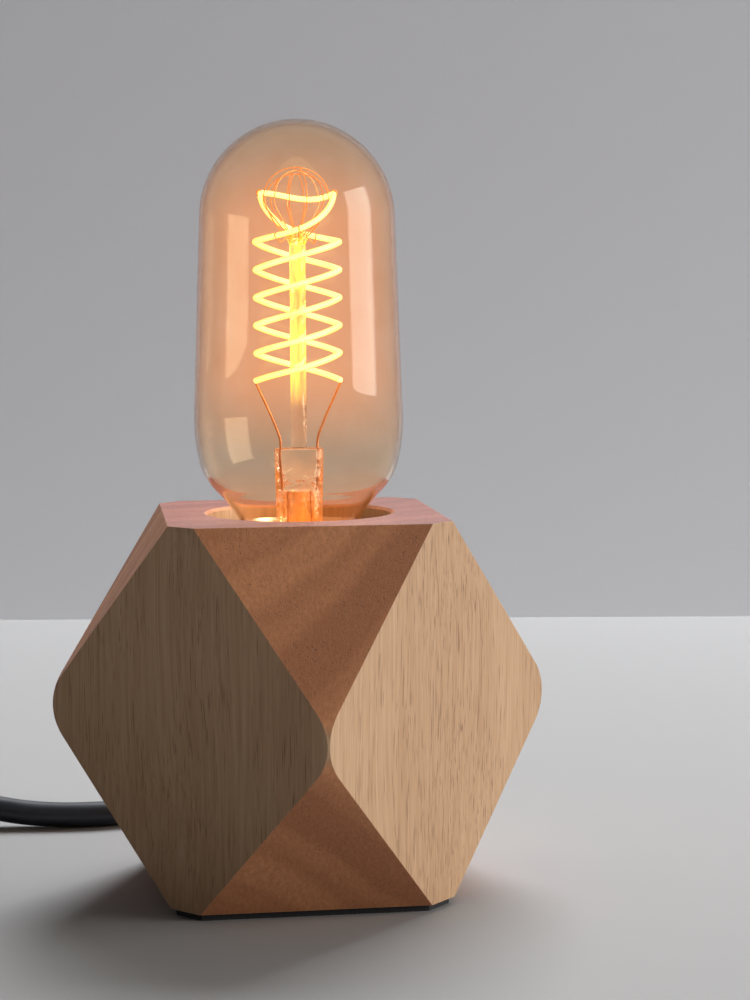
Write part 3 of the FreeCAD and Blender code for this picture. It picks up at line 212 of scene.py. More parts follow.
# %% Outline of straight runs and arcs
def outline(corners):
    """Chain of runs in millimetres. A corner is (across, up) or (across, up, radius): the radius is that of
    the arc that arrives there, positive where it turns left. Its centre lies on the chord's middle line at
    the square root of (radius squared - half chord squared)."""
    points = [np.array(corners[0][:2], float)]
    for corner in corners[1:]:
        start, finish = points[-1], np.array(corner[:2], float)
        if len(corner) == 2:
            points.append(finish)
            continue
        half = np.linalg.norm(finish - start) / 2
        left = np.array([start[1] - finish[1], finish[0] - start[0]]) / (2 * half)
        side = 1 if corner[2] > 0 else -1
        centre = (start + finish) / 2 + left * side * math.sqrt(max(0.0, corner[2] ** 2 - half**2))
        sweep = 2 * math.asin(min(1.0, half / abs(corner[2]))) * side
        steps = max(3, int(abs(sweep) / 0.06))
        begin = math.atan2(start[1] - centre[1], start[0] - centre[0])
        angle = begin + sweep * np.arange(1, steps + 1) / steps
        points += list(centre + abs(corner[2]) * np.column_stack([np.cos(angle), np.sin(angle)]))
    return np.array(points)


def full_turn(steps):
    """Angles in even steps round a whole turn, without the last, which would be 0 again."""
    return np.linspace(0.0, 2 * np.pi, steps, endpoint=False)


def turned_grid(profile, sides=96):
    """Points (across cos a, across sin a, up) for every profile point and every angle a, in metres."""
    angle = full_turn(sides)
    across, up = profile[:, :1] / 1000.0, profile[:, 1:] / 1000.0
    return np.stack([across * np.cos(angle), across * np.sin(angle), up + 0.0 * angle], axis=-1)


# %% Tube along a path
def tube_grid(path, radius, across, sides=12):
    """Rings round a path: point + radius (cos a * side + sin a * lift), where lift is the part of the
    vector `across` square to the path, and side completes the right-handed frame. The radius is one number,
    or one for each point and angle. Both ends close."""
    path, across = np.asarray(path, float), np.asarray(across, float)
    along = np.gradient(path, axis=0)
    along /= np.linalg.norm(along, axis=1, keepdims=True)
    lift = across - along * (along @ across)[:, None]
    lift /= np.linalg.norm(lift, axis=1, keepdims=True)
    side = np.cross(lift, along)
    angle = full_turn(sides)
    radius = np.broadcast_to(np.asarray(radius, float), (len(path), sides))
    rings = path[:, None] + radius[..., None] * (
        np.cos(angle)[None, :, None] * side[:, None] + np.sin(angle)[None, :, None] * lift[:, None])
    first, last = (np.repeat(path[end][None, None], sides, axis=1) for end in (0, -1))
    return np.concatenate([first, rings, last])


def eased(points, spacing, soften):
    """The path through the points, walked in even steps of `spacing`, with each point then averaged with
    its neighbours over the length `soften` so that corners become bends. The ends stay."""
    points = np.asarray(points, float)
    walked = np.concatenate([[0.0], np.cumsum(np.linalg.norm(np.diff(points, axis=0), axis=1))])
    even = np.linspace(0.0, walked[-1], max(8, int(walked[-1] / spacing)))
    path = np.column_stack([np.interp(even, walked, points[:, axis]) for axis in range(3)])
    window = 2 * max(1, int(soften / spacing / 2)) + 1
    padded = np.concatenate([2 * path[:1] - path[window // 2:0:-1], path,
                             2 * path[-1:] - path[-2:-2 - window // 2:-1]])
    kernel = np.ones(window) / window
    return np.column_stack([np.convolve(padded[:, axis], kernel, mode="valid") for axis in range(3)])


# %% [markdown]
# ## Making materials
# A material is a small machine of nodes. Two short functions keep the wiring readable: one adds a node and
# connects its inputs, and one opens a new node group. The others are the sums that come up again and again.

# %% Wiring helpers
def put(tree, kind, inputs=None, **settings):
    """New shader node with its properties set; each input takes a number, a colour or a node's output."""
    node = tree.nodes.new("ShaderNode" + kind)
    for name, setting in settings.items():
        setattr(node, name, setting)
    for name, given in (inputs or {}).items():
        if isinstance(given, bpy.types.NodeSocket):
            tree.links.new(given, node.inputs[name])
        else:
            node.inputs[name].default_value = given
    return node


def new_group(name, inputs, outputs):
    """Empty group with its named inputs, as (name, kind, start value), and outputs, as (name, kind)."""
    group = bpy.data.node_groups.new(name, "ShaderNodeTree")
    for label, kind, start in inputs:
        socket = group.interface.new_socket(label, in_out="INPUT", socket_type=f"NodeSocket{kind}")
        if start is not None:
            socket.default_value = start
    for label, kind in outputs:
        group.interface.new_socket(label, in_out="OUTPUT", socket_type=f"NodeSocket{kind}")
    return group, group.nodes.new("NodeGroupInput"), group.nodes.new("NodeGroupOutput")


def scaled(tree, vector, factors):
    """The vector with each axis multiplied by its factor."""
    return put(tree, "VectorMath", {0: vector, 1: factors}, operation="MULTIPLY").outputs[0]


def upright_part(tree, vector):
    """The vector's Z, which is the height where the vector is a place."""
    return put(tree, "SeparateXYZ", {0: vector}).outputs["Z"]


def noise(tree, vector, detail=2.0, roughness=0.5):
    """Cloudy pattern, 0 to 1, with one blob to each unit of the vector."""
    inputs = {"Vector": vector, "Scale": 1.0, "Detail": detail, "Roughness": roughness}
    return put(tree, "TexNoise", inputs).outputs["Fac"]


def ramp(tree, value, low, high, out_low=0.0, out_high=1.0):
    """Straight ramp from out_low at low to out_high at high, held at both ends."""
    inputs = {"Value": value, "From Min": low, "From Max": high, "To Min": out_low, "To Max": out_high}
    return put(tree, "MapRange", inputs).outputs["Result"]


def calculate(tree, operation, first, second=0.0):
    """One sum on two numbers or masks, such as ADD."""
    return put(tree, "Math", {0: first, 1: second}, operation=operation).outputs[0]


def product(tree, first, second):
    """Two numbers or masks multiplied."""
    return calculate(tree, "MULTIPLY", first, second)


def blend(tree, mask, first, second, way="MIX"):
    """First colour where the mask is 0; where it is 1, the second, or with MULTIPLY their product."""
    first, second = ((*given, 1.0) if isinstance(given, tuple) else given for given in (first, second))
    made = put(tree, "Mix", {0: mask, 6: first, 7: second}, data_type="RGBA", blend_type=way)
    return made.outputs[2]


# %% [markdown]
# ## Effects that finishes share
# A group gives out masks and heights only, and each material decides what to do with them. An edge is where
# a softened normal and the true one disagree. Speckle is noise at two sizes, a fine skin and wide smudges.
# Turning marks are noise that depends only on the distance from the upright axis and on the height, so
# every mark runs all the way round.

# %% Group: worn edges
wear, enters, leaves = new_group("worn_edges", [("Width", "Float", 0.0004)], [("Edge", "Float")])
softened = put(wear, "Bevel", {"Radius": enters.outputs["Width"]}, samples=6)
facing = put(wear, "NewGeometry")
agree = put(wear, "VectorMath", {0: softened.outputs[0], 1: facing.outputs["Normal"]},
            operation="DOT_PRODUCT")
bend = calculate(wear, "SUBTRACT", 1.0, agree.outputs["Value"])
wear.links.new(ramp(wear, bend, 0.01, 0.12), leaves.inputs["Edge"])

# %% Group: fine speckle and smudges
METRES_TO_MM = (1000.0, 1000.0, 1000.0)
speckle, enters, leaves = new_group(
    "speckle", [("Point", "Vector", None), ("Grain", "Float", 0.3)], [("Fine", "Float"), ("Smudge", "Float")])
millimetres = scaled(speckle, enters.outputs["Point"], METRES_TO_MM)
per_grain = calculate(speckle, "DIVIDE", 1.0, enters.outputs["Grain"])
fine = put(speckle, "VectorMath", {0: millimetres, "Scale": per_grain}, operation="SCALE")
wide = scaled(speckle, millimetres, (0.12, 0.12, 0.12))
speckle.links.new(noise(speckle, fine.outputs[0], 2.0), leaves.inputs["Fine"])
speckle.links.new(noise(speckle, wide, 4.0), leaves.inputs["Smudge"])

# %% Group: turning marks
turning, enters, leaves = new_group(
    "turning_marks", [("Point", "Vector", None)], [("Marks", "Float"), ("Tarnish", "Float")])
millimetres = scaled(turning, enters.outputs["Point"], METRES_TO_MM)
parts = put(turning, "SeparateXYZ", {0: millimetres})
flat = put(turning, "CombineXYZ", {"X": parts.outputs["X"], "Y": parts.outputs["Y"]})
radius = put(turning, "VectorMath", {0: flat.outputs[0]}, operation="LENGTH")
MARKS_PER_MM = 7.0
rings = put(turning, "CombineXYZ", {
    "X": product(turning, radius.outputs["Value"], MARKS_PER_MM),
    "Y": product(turning, parts.outputs["Z"], MARKS_PER_MM)})
cloud = scaled(turning, millimetres, (0.25, 0.25, 0.25))
turning.links.new(noise(turning, rings.outputs[0], 2.0), leaves.inputs["Marks"])
turning.links.new(noise(turning, cloud, 5.0, 0.6), leaves.inputs["Tarnish"])


def use_group(tree, group, inputs):
    """The group placed in a material; its outputs are read by name."""
    return put(tree, "Group", inputs, node_tree=group).outputs


def new_material(name, **sockets):
    """Material with a Principled shader whose plain sockets are set by name, such as Transmission_Weight.
    The lead's curves already hold theirs, so that one is only filled in."""
    material = lead_jacket if name == lead_jacket.name else bpy.data.materials.new(name)
    material.use_nodes = True
    tree = material.node_tree
    shader = tree.nodes["Principled BSDF"]
    for label, setting in sockets.items():
        shader.inputs[label.replace("_", " ")].default_value = setting
    place = put(tree, "TexCoord").outputs["Object"]
    return material, tree, shader, place


def link_to(tree, shader, **outputs):
    """Each output linked to the shader's socket of that name, such as Base_Color."""
    for label, output in outputs.items():
        tree.links.new(output, shader.inputs[label.replace("_", " ")])


def raise_surface(tree, shader, height, depth, strength=1.0):
    """Bump from a height mask, where depth is how far 0 to 1 reaches, in metres."""
    made = put(tree, "Bump", {"Height": height, "Distance": depth, "Strength": strength})
    link_to(tree, shader, Normal=made.outputs[0])


# %% [markdown]
# ## Finishes for the fittings
# Three families cover most of the small parts. Moulded plastic and rubber are dark with a fine skin, a
# lighter line along worn edges and a few dull smudges. Turned and rolled metal has marks round its axis and
# a little tarnish. Fired and glazed parts are smooth with faint specks.

# %% Moulded plastic, rubber and fired parts
def moulded(name, colour, lighter, rough=(0.35, 0.5), grain=0.3, depth=0.00002, edge=0.5):
    """Colour drifts towards `lighter` in smudges and along edges; the fine skin is a shallow bump."""
    material, tree, shader, place = new_material(name)
    skin = use_group(tree, speckle, {"Point": place, "Grain": grain})
    rub = use_group(tree, wear, {"Width": 0.0004})
    tone = blend(tree, ramp(tree, skin["Smudge"], 0.35, 0.75, 0.0, 0.55), colour, lighter)
    worn = product(tree, rub["Edge"], edge)
    rubbed = tuple(min(1.0, 1.6 * part + 0.01) for part in lighter)
    link_to(tree, shader, Base_Color=blend(tree, worn, tone, rubbed),
            Roughness=ramp(tree, skin["Smudge"], 0.3, 0.7, *rough))
    raise_surface(tree, shader, skin["Fine"], depth)
    return material


black_moulding = moulded("black_moulding", (0.014, 0.014, 0.016), (0.028, 0.028, 0.031), (0.28, 0.42))
switch_moulding = moulded("switch_moulding", (0.012, 0.012, 0.014), (0.026, 0.027, 0.030), (0.30, 0.46),
                          grain=0.45, depth=0.00003)
jacket = moulded("lead_jacket", (0.010, 0.012, 0.020), (0.017, 0.020, 0.030), (0.36, 0.52),
                 grain=0.7, edge=0.0)
pad_foam = moulded("pad_foam", (0.020, 0.020, 0.022), (0.045, 0.045, 0.047), (0.85, 0.98),
                   grain=0.5, depth=0.0002, edge=0.2)
brown_sleeve = moulded("brown_sleeve", (0.16, 0.060, 0.025), (0.21, 0.09, 0.04), (0.3, 0.4))
blue_sleeve = moulded("blue_sleeve", (0.025, 0.10, 0.36), (0.04, 0.15, 0.45), (0.3, 0.4))
fired_ceramic = moulded("fired_ceramic", (0.78, 0.76, 0.70), (0.86, 0.84, 0.79), (0.30, 0.45),
                        grain=0.4, depth=0.00003, edge=0.3)
cap_cement = moulded("cap_cement_paste", (0.62, 0.55, 0.42), (0.72, 0.66, 0.54), (0.8, 0.95),
                     grain=0.5, depth=0.0001, edge=0.2)
black_glass = moulded("black_cap_glass", (0.010, 0.010, 0.014), (0.03, 0.03, 0.04), (0.06, 0.18),
                      grain=0.8, edge=0.3)


# %% Turned and rolled metal
def metal(name, bright, dull, rough=(0.18, 0.38), depth=0.00001):
    """Metal that is bright where it is rubbed and dull where it is tarnished, with fine marks all round."""
    material, tree, shader, place = new_material(name, Metallic=1.0)
    marks = use_group(tree, turning, {"Point": place})
    rub = use_group(tree, wear, {"Width": 0.0003})
    tarnish = ramp(tree, marks["Tarnish"], 0.38, 0.72)
    tone = blend(tree, tarnish, bright, dull)
    worn = product(tree, rub["Edge"], 0.6)
    link_to(tree, shader, Base_Color=blend(tree, worn, tone, bright),
            Roughness=ramp(tree, calculate(tree, "ADD", marks["Marks"], tarnish), 0.4, 1.4, *rough))
    raise_surface(tree, shader, marks["Marks"], depth)
    return material


zinc = metal("zinc_plate", (0.70, 0.71, 0.73), (0.45, 0.46, 0.47), (0.22, 0.45))
brass = metal("brass_strip", (0.86, 0.66, 0.34), (0.55, 0.36, 0.16))
cap_metal = metal("rolled_cap_metal", (0.82, 0.82, 0.81), (0.60, 0.58, 0.55), (0.16, 0.36))

# %% Finishes on the parts whose shape is already right
def dress(material, *names):
    """The material in the first slot of each named CAD node."""
    for name in names:
        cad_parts[name].material_slots[0].material = material


dress(black_moulding, "holder_cup", "holder_skirt")
dress(switch_moulding, "switch_base", "switch_cover", "rocker", "plug_body", "pin_sleeves")
dress(jacket, "lead_inlet")
dress(pad_foam, "base_pad")
dress(brown_sleeve, "live_wire", "switch_wires")
dress(blue_sleeve, "neutral_wire")
dress(fired_ceramic, "holder_core")
dress(cap_cement, "cap_cement")
dress(black_glass, "cap_insulator")
dress(zinc, "nipple", "nipple_washer", "nipple_nut", "terminal_screws", "lead_clamp", "clamp_screws",
      "switch_screws", "cap_contact")
dress(brass, "centre_contact", "side_contact", "switch_leaf", "switch_contact", "plug_pins")

# %% [markdown]
# ## The wood
# The block is one piece of pale, open-pored wood with its grain upright. The pattern is worked out in
# space, not on the surface, so it runs through the block as real grain does: growth rings about a far
# upright axis, fibres stretched upwards, and short dark pores. Where a face slopes, the same pores come out
# as short dashes and the rings as curved bands, with no extra work. Faces sawn across the grain take more
# oil and look redder and darker, so the surface's own direction picks them out. The flat top and bottom
# also get a pink cast, which is painted light from the lit bulb.

# %% Group: timber
timber, enters, leaves = new_group(
    "timber",
    [("Point", "Vector", None), ("Heart", "Vector", (-42.0, 105.0, 0.0)), ("Ring width", "Float", 11.0)],
    [("Band", "Float"), ("Fibre", "Float"), ("Pores", "Float"), ("Height", "Float")])
point = scaled(timber, enters.outputs["Point"], METRES_TO_MM)
# the rings wander: a wide noise pushes each point by up to 16 mm before it is measured from the heart
wander = put(timber, "TexNoise", {"Vector": scaled(timber, point, (0.02, 0.02, 0.006)),
                                  "Scale": 1.0, "Detail": 2.0})
pushed = scaled(timber, wander.outputs["Color"], (16.0, 16.0, 16.0))
wavy = put(timber, "VectorMath", {0: point, 1: pushed}, operation="ADD").outputs[0]
from_heart = put(timber, "VectorMath", {0: wavy, 1: enters.outputs["Heart"]}, operation="SUBTRACT")
level = scaled(timber, from_heart.outputs[0], (1.0, 1.0, 0.0))
from_axis = put(timber, "VectorMath", {0: level}, operation="LENGTH")
ring_count = calculate(timber, "DIVIDE", from_axis.outputs["Value"], enters.outputs["Ring width"])
ring_noise = put(timber, "TexNoise", {"W": ring_count, "Scale": 1.0, "Detail": 3.0, "Roughness": 0.55},
                 noise_dimensions="1D")
band = ramp(timber, ring_noise.outputs["Fac"], 0.32, 0.68)
# fibres and pores are noise stretched upwards; pores keep its peaks, and crowd where the limit is low
fibre = noise(timber, scaled(timber, wavy, (1.5, 1.5, 0.030)), 5.0, 0.68)
thin = noise(timber, scaled(timber, wavy, (3.9, 3.9, 0.10)), 1.0)
crowd = noise(timber, scaled(timber, point, (0.16, 0.16, 0.05)), 2.0)
crowded = calculate(timber, "ADD", product(timber, crowd, 0.7), product(timber, band, 0.3))
limit = ramp(timber, crowded, 0.30, 0.62, 0.70, 0.60)
pores = ramp(timber, calculate(timber, "SUBTRACT", thin, limit), 0.0, 0.09)
height = calculate(timber, "SUBTRACT", product(timber, fibre, 0.35), pores)
for label, socket in (("Band", band), ("Fibre", fibre), ("Pores", pores), ("Height", height)):
    timber.links.new(socket, leaves.inputs[label])

# %% Oiled pale wood
oiled_wood, tree, shader, place = new_material("oiled_pale_wood", Specular_IOR_Level=0.35)
grain = use_group(tree, timber, {"Point": place})
rub = use_group(tree, wear, {"Width": 0.0006})
# long grain: pale and dark fibres, then a brown growth band over them
tone = blend(tree, ramp(tree, grain["Fibre"], 0.32, 0.68), (0.49, 0.290, 0.155), (0.66, 0.435, 0.262))
tone = blend(tree, product(tree, grain["Band"], 0.35), tone, (0.47, 0.262, 0.135))
# end grain: the sloping faces take a redder tint in bands, and the flat top and bottom a darker one whose
# pink cast is painted light from the lit bulb
tilt = calculate(tree, "ABSOLUTE", upright_part(tree, put(tree, "TexCoord").outputs["Normal"]))
banded = blend(tree, ramp(tree, grain["Band"], 0.1, 0.9), (1.08, 0.74, 0.59), (0.82, 0.54, 0.44))
tone = blend(tree, ramp(tree, tilt, 0.15, 0.35), tone, banded, "MULTIPLY")
# the darkening here is end grain; the pink in it is painted light from the bulb
tone = blend(tree, ramp(tree, tilt, 0.80, 0.95), tone, (0.52, 0.38, 0.53), "MULTIPLY")
# dark pores, and edges rubbed pale
tone = blend(tree, product(tree, grain["Pores"], 0.60), tone, (0.165, 0.078, 0.040))
tone = blend(tree, product(tree, rub["Edge"], 0.30), tone, (0.70, 0.50, 0.33))
link_to(tree, shader, Base_Color=tone, Roughness=ramp(tree, grain["Fibre"], 0.2, 0.8, 0.60, 0.46))
raise_surface(tree, shader, grain["Height"], 0.00012, 0.6)

# %% [markdown]
# ## The block
# The engineering model of the block has knife-sharp edges. Real sanding leaves a tiny round on each, which
# catches the light, so a merged copy of the block gets a bevel of a third of a millimetre. Flat triangles
# are joined first, because a bevel works best on whole faces.

# %% Block with sanded edges
block_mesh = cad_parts["wood_block"].data.copy()
block_mesh.name = "sanded_block"
shape = bmesh.new()
shape.from_mesh(block_mesh)
bmesh.ops.remove_doubles(shape, verts=shape.verts, dist=1e-6)
bmesh.ops.dissolve_limit(shape, angle_limit=math.radians(0.4), verts=shape.verts, edges=shape.edges)
shape.to_mesh(block_mesh)
shape.free()
if "custom_normal" in block_mesh.attributes:
    block_mesh.attributes.remove(block_mesh.attributes["custom_normal"])
block_mesh.shade_smooth()
block_mesh.set_sharp_from_angle(angle=math.radians(25))
block_mesh.materials.clear()
block_mesh.materials.append(oiled_wood)
block = add_object("sanded_block", block_mesh)
sanding = block.modifiers.new("sanding", "BEVEL")
sanding.width = 0.00032
sanding.segments = 2
sanding.limit_method = "ANGLE"
sanding.angle_limit = math.radians(28)
sanding.harden_normals = True
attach(block, "base")
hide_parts("wood_block")
print("block has", len(block_mesh.polygons), "faces before its bevel")

# %% [markdown]
# ## The glass of the bulb
# The bulb is a blown tube with an amber film: a straight body under a round dome, drawn in to a neck that
# is cemented in the cap. Glass needs two walls, or light bends wrongly, so the outline goes up the outside
# and down the inside. The film takes blue out of what is seen through it. A painted glow on the film stands
# in for the lit wire's light, most beside the wire and down at the neck. The glass casts no shadow, as clear
# glass hardly does, so the wire's own light reaches the wood. Its index is below real glass's, for fainter
# reflections.

# %% Amber glass
amber, tree, shader, place = new_material(
    "amber_glass", Transmission_Weight=1.0, IOR=1.25, Metallic=0.0, Emission_Strength=1.0)
film = use_group(tree, speckle, {"Point": place, "Grain": 2.5})
tone = blend(tree, ramp(tree, film["Smudge"], 0.35, 0.7), (0.98, 0.87, 0.72), (0.95, 0.81, 0.64))
turned_away = put(tree, "LayerWeight", {"Blend": 0.5}).outputs["Facing"]
rim = ramp(tree, turned_away, 0.66, 0.95, 0.0, 0.9)
link_to(tree, shader, Base_Color=blend(tree, rim, tone, (0.26, 0.13, 0.09)),
        Roughness=ramp(tree, film["Smudge"], 0.5, 0.8, 0.0, 0.02))
# heights in metres: the painted glow, in place of the wire's light on the film, is full from the filament's
# foot to its crown, with some more at the neck
up = upright_part(tree, place)
beside = product(tree, ramp(tree, up, 0.094, 0.110), ramp(tree, up, 0.145, 0.163, 1.0, 0.15))
glow = product(tree, beside, ramp(tree, turned_away, 0.04, 0.60, 1.0, 0.12))
glow = calculate(tree, "ADD", glow, ramp(tree, up, 0.076, 0.092, 0.6, 0.0))
link_to(tree, shader, Emission_Color=blend(
    tree, product(tree, glow, 0.5), (0.010, 0.002, 0.001), (0.23, 0.055, 0.003)))

# %% Blown envelope
CAP_FOOT = 53.3  # millimetres from the table to the bulb's own height 0
shift = np.array([0.0, CAP_FOOT])
outside = outline([(11.4, 17.0), (11.4, 20.8), (12.5, 25.6, -10.9), (17.6, 32.6, -24.8), (21.5, 39.2, 13.2),
                   (22.6, 48.2, 38.0), (21.0, 91.5), (0.0, 112.5, 21.0)])
inside = outline([(0.0, 111.7), (20.2, 91.5, -20.2), (21.8, 48.2), (20.72, 39.39, -37.2),
                  (17.05, 33.18, -12.4), (11.78, 25.95, 25.6), (10.6, 20.8, 11.7), (10.6, 17.0)])
envelope = make_piece("blown_envelope", turned_grid(np.concatenate([outside, inside]) + shift, 144), "bulb",
                      amber, ["glass_envelope"], ring=True)
envelope.visible_shadow = False

# %% [markdown]
# ## The glass mount
# Inside the neck stands a flared glass tube. Its top was heated and pinched flat round the two lead wires,
# which makes the seal. It is a turned shape whose upper part is squeezed one way and spread the other, so
# the round tube runs smoothly into the flat press. A glass rod stands on it and carries the fine wires that
# hold up the filament. The rod and the glass below it get a painted glow in place of the wire's light.

# %% Clear glass of the mount
clear, tree, shader, place = new_material(
    "mount_glass", Transmission_Weight=1.0, IOR=1.5, Metallic=0.0, Emission_Strength=1.0)
film = use_group(tree, speckle, {"Point": place, "Grain": 1.2})
link_to(tree, shader, Base_Color=blend(tree, film["Smudge"], (1.0, 0.93, 0.86), (0.97, 0.86, 0.76)),
        Roughness=ramp(tree, film["Fine"], 0.3, 0.7, 0.02, 0.12))
raise_surface(tree, shader, film["Smudge"], 0.0008)
# the rod gets a painted glow in streaks between the heights of the filament, and the tube below it in soft
# patches, both in place of the wire's light
up = upright_part(tree, place)
streaks = ramp(tree, noise(tree, scaled(tree, place, (1500.0, 1500.0, 110.0)), 3.0), 0.40, 0.60, 0.10, 1.0)
lit_part = product(tree, ramp(tree, up, 0.104, 0.112), ramp(tree, up, 0.139, 0.1425, 1.0, 0.3))
painted_glow_by_wire = blend(tree, product(tree, lit_part, streaks), (0.0, 0.0, 0.0), (0.95, 0.62, 0.02))
patches = ramp(tree, film["Smudge"], 0.35, 0.65)
painted_glow_low = product(tree, ramp(tree, up, 0.072, 0.104, 1.0, 0.0), patches)
link_to(tree, shader, Emission_Color=blend(tree, painted_glow_low, painted_glow_by_wire, (0.40, 0.12, 0.02)))
dress(clear, "exhaust_tube", "support_rod")

# %% Flared stem with its pinched top
STEM_TOP, TUBE_RADIUS, PRESS_HALF_WIDTH, PRESS_HALF_THICKNESS = 42.2, 4.9, 5.4, 2.3
PINCH_FROM, PINCH_OVER = 31.5, 5.0
stem_outside = outline([(10.55, 17.1), (10.55, 18.2, 0.56), (TUBE_RADIUS, 23.85, -5.65), (TUBE_RADIUS, 41.4),
                        (4.1, STEM_TOP, 0.8), (0.0, STEM_TOP)])
stem_inside = outline([(0.0, 34.2), (3.8, 32.8), (3.8, 23.85), (10.0, 17.1, 6.75)])
stem = np.concatenate([turned_grid(stem_outside + shift, 72), turned_grid(stem_inside + shift, 72)])
pinch = np.clip((stem[..., 2] * 1000.0 - CAP_FOOT - PINCH_FROM) / PINCH_OVER, 0.0, 1.0)
pinch = pinch * pinch * (3.0 - 2.0 * pinch)  # smooth at both ends
pinch[len(stem_outside):] = 0.0  # the bore stays round
stem[..., 0] *= 1.0 + pinch * (PRESS_HALF_WIDTH / TUBE_RADIUS - 1.0)
stem[..., 1] *= 1.0 + pinch * (PRESS_HALF_THICKNESS / TUBE_RADIUS - 1.0)
make_piece("pinched_stem", stem, "bulb", clear, ["glass_stem"], ring=True)

# %% [markdown]
# ## The filament
# This is the lamp's show piece: two strands that climb as spirals, half a turn apart, cross at the front
# and back, and meet over the top, where one sagging strand joins their high corners. The path is a formula
# of the angle walked, so all its points come at once. The strand itself is a fine wire wound close, so its
# skin rises and falls along a very short spiral. It glows pale yellow, deeper where the skin turns away.

# %% Path of the strands
COIL_RADIUS, COIL_PITCH, COIL_TURNS, COIL_FOOT = 9.2, 11.9, 2.5, 110.0
CROWN_RISE, BRIDGE_SAG = 10.4, 9.5
PATH_STEP = 0.12


def strand(start):
    """Spiral (r cos a, r sin a, foot + pitch a / 2 pi), pulled towards the straight runs between its four
    supports by 0.6 of the difference, where the runs are r (1 - 2 a / pi) across. Then half a turn of crown,
    with s from 0 to 1, draws in by a quarter of a sine and by 1.2 s, and rises by 0.43 s + 0.57 s to the
    fourth."""
    turn = np.linspace(0.0, 2 * np.pi * COIL_TURNS, 400)
    coil = np.column_stack([COIL_RADIUS * np.cos(start + turn), COIL_RADIUS * np.sin(start + turn),
                            COIL_FOOT + COIL_PITCH * turn / (2 * np.pi)])
    straight = COIL_RADIUS * 2 / np.pi * np.column_stack([np.arcsin(np.cos(start + turn)),
                                                          np.arcsin(np.sin(start + turn))])
    coil[:, :2] += 0.6 * (straight - coil[:, :2])
    share = np.linspace(0.0, 1.0, 81)[1:]
    angle = start + 2 * np.pi * COIL_TURNS + np.pi * share
    reach = COIL_RADIUS * (1.0 - 0.25 * np.sin(np.pi * share)) - 1.2 * share
    rise = CROWN_RISE * (0.43 * share + 0.57 * share**4)
    crown = np.column_stack([reach * np.cos(angle), reach * np.sin(angle), coil[-1, 2] + rise])
    return np.concatenate([coil, crown])


right_strand, left_strand = strand(0.0), strand(np.pi)
share = np.linspace(0.0, 1.0, 42)[1:-1, None]
bridge = right_strand[-1] + (left_strand[-1] - right_strand[-1]) * share
bridge[:, 2:] -= BRIDGE_SAG * share * (1.0 - share) ** 2
wire_path = eased(np.concatenate([right_strand, bridge, left_strand[::-1]]), PATH_STEP, 1.2)
print("filament wire is", round(float(np.linalg.norm(np.diff(wire_path, axis=0), axis=1).sum())), "mm long")

# %% Close-wound glowing wire
glowing, tree, shader, place = new_material("glowing_wire", Roughness=0.6, Emission_Strength=2.8)
glow_pattern = use_group(tree, speckle, {"Point": place, "Grain": 0.5})
core = blend(tree, ramp(tree, glow_pattern["Smudge"], 0.3, 0.7), (1.0, 0.66, 0.17), (1.0, 0.80, 0.29))
turned_away = put(tree, "LayerWeight", {"Blend": 0.5}).outputs["Facing"]
link_to(tree, shader,
        Emission_Color=blend(tree, ramp(tree, turned_away, 0.25, 0.75), core, (0.44, 0.34, 0.0)),
        Base_Color=blend(tree, glow_pattern["Fine"], (0.25, 0.20, 0.15), (0.40, 0.33, 0.25)))
STRAND_RADIUS, WIND_DEPTH, WIND_PITCH = 0.60, 0.06, 0.6
RINGS_PER_WIND, SIDES = 5, 10
rings_along = int(len(wire_path) * PATH_STEP / WIND_PITCH * RINGS_PER_WIND)
steps_along = np.linspace(0, len(wire_path) - 1, rings_along).astype(int)
walked = steps_along[:, None] * PATH_STEP
round_it = full_turn(SIDES)[None, :]
wound_radius = STRAND_RADIUS + WIND_DEPTH * np.cos(2 * np.pi * walked / WIND_PITCH - round_it)
wound = tube_grid(wire_path[steps_along] / 1000, wound_radius / 1000, (0, 0, 1), SIDES)
make_piece("wound_filament", wound, "bulb", glowing, ["filament"])

# %% [markdown]
# ## Wires in the bulb
# Two lead wires carry the current up through the press to the ends of the filament. From the rod's glass
# button, six fine wires fan out and up to the crown, each ending in a small curl that hooks round the
# strand. Six finer loops arch from the button over the crown and back, and look like a small cage.

# %% Lead wires
warm_wire, tree, shader, place = new_material("warm_wire", Metallic=1.0, Emission_Strength=1.0)
marks = use_group(tree, turning, {"Point": place})
tarnish = ramp(tree, marks["Tarnish"], 0.35, 0.65)
# painted glow: the wires' emission grows with height towards the filament, in place of its light on them
glow_pattern = ramp(tree, upright_part(tree, place), 0.088, 0.150)
link_to(tree, shader, Base_Color=blend(tree, tarnish, (0.60, 0.30, 0.16), (0.40, 0.16, 0.07)),
        Roughness=ramp(tree, marks["Marks"], 0.3, 0.7, 0.30, 0.50),
        Emission_Color=blend(tree, glow_pattern, (0.03, 0.006, 0.001), (0.62, 0.17, 0.02)))
LEAD_WIRE_RADIUS = 0.00026
to_rim, to_tip = [(12.4, 66.3), (8.5, 64.3), (4.2, 65.8)], [(0.5, 57.35), (0.6, 59.8), (2.9, 63.8)]
climb = [(3.0, 73.3), (3.0, 83.3), (3.6, 90.5), (4.0, 94.5), (4.0, 97.5), (6.0, 102.5), (9.2, 109.5)]
lead_grids = []
for side, start in ((1, to_rim), (-1, to_tip)):
    corners = [(side * across, 0.0, up) for across, up in start + climb]
    lead_grids.append(tube_grid(eased(corners, 0.3, 2.4) / 1000, LEAD_WIRE_RADIUS, (0, 1, 0), 10))
make_piece("bent_lead_wires", lead_grids, "bulb", warm_wire, ["lead_wires"])

# %% Hooks that hold the crown
UPRIGHT = np.array([0.0, 0.0, 1.0])
ROD_LENGTH, BUTTON_DEPTH = 47.0, 1.8
BUTTON = UPRIGHT * (CAP_FOOT + STEM_TOP + ROD_LENGTH - BUTTON_DEPTH)
CURL_RADIUS, HOOK_WIRE, LOOP_WIRE, LOOP_WAIST = 0.62, 0.00015, 0.00011, 147.5


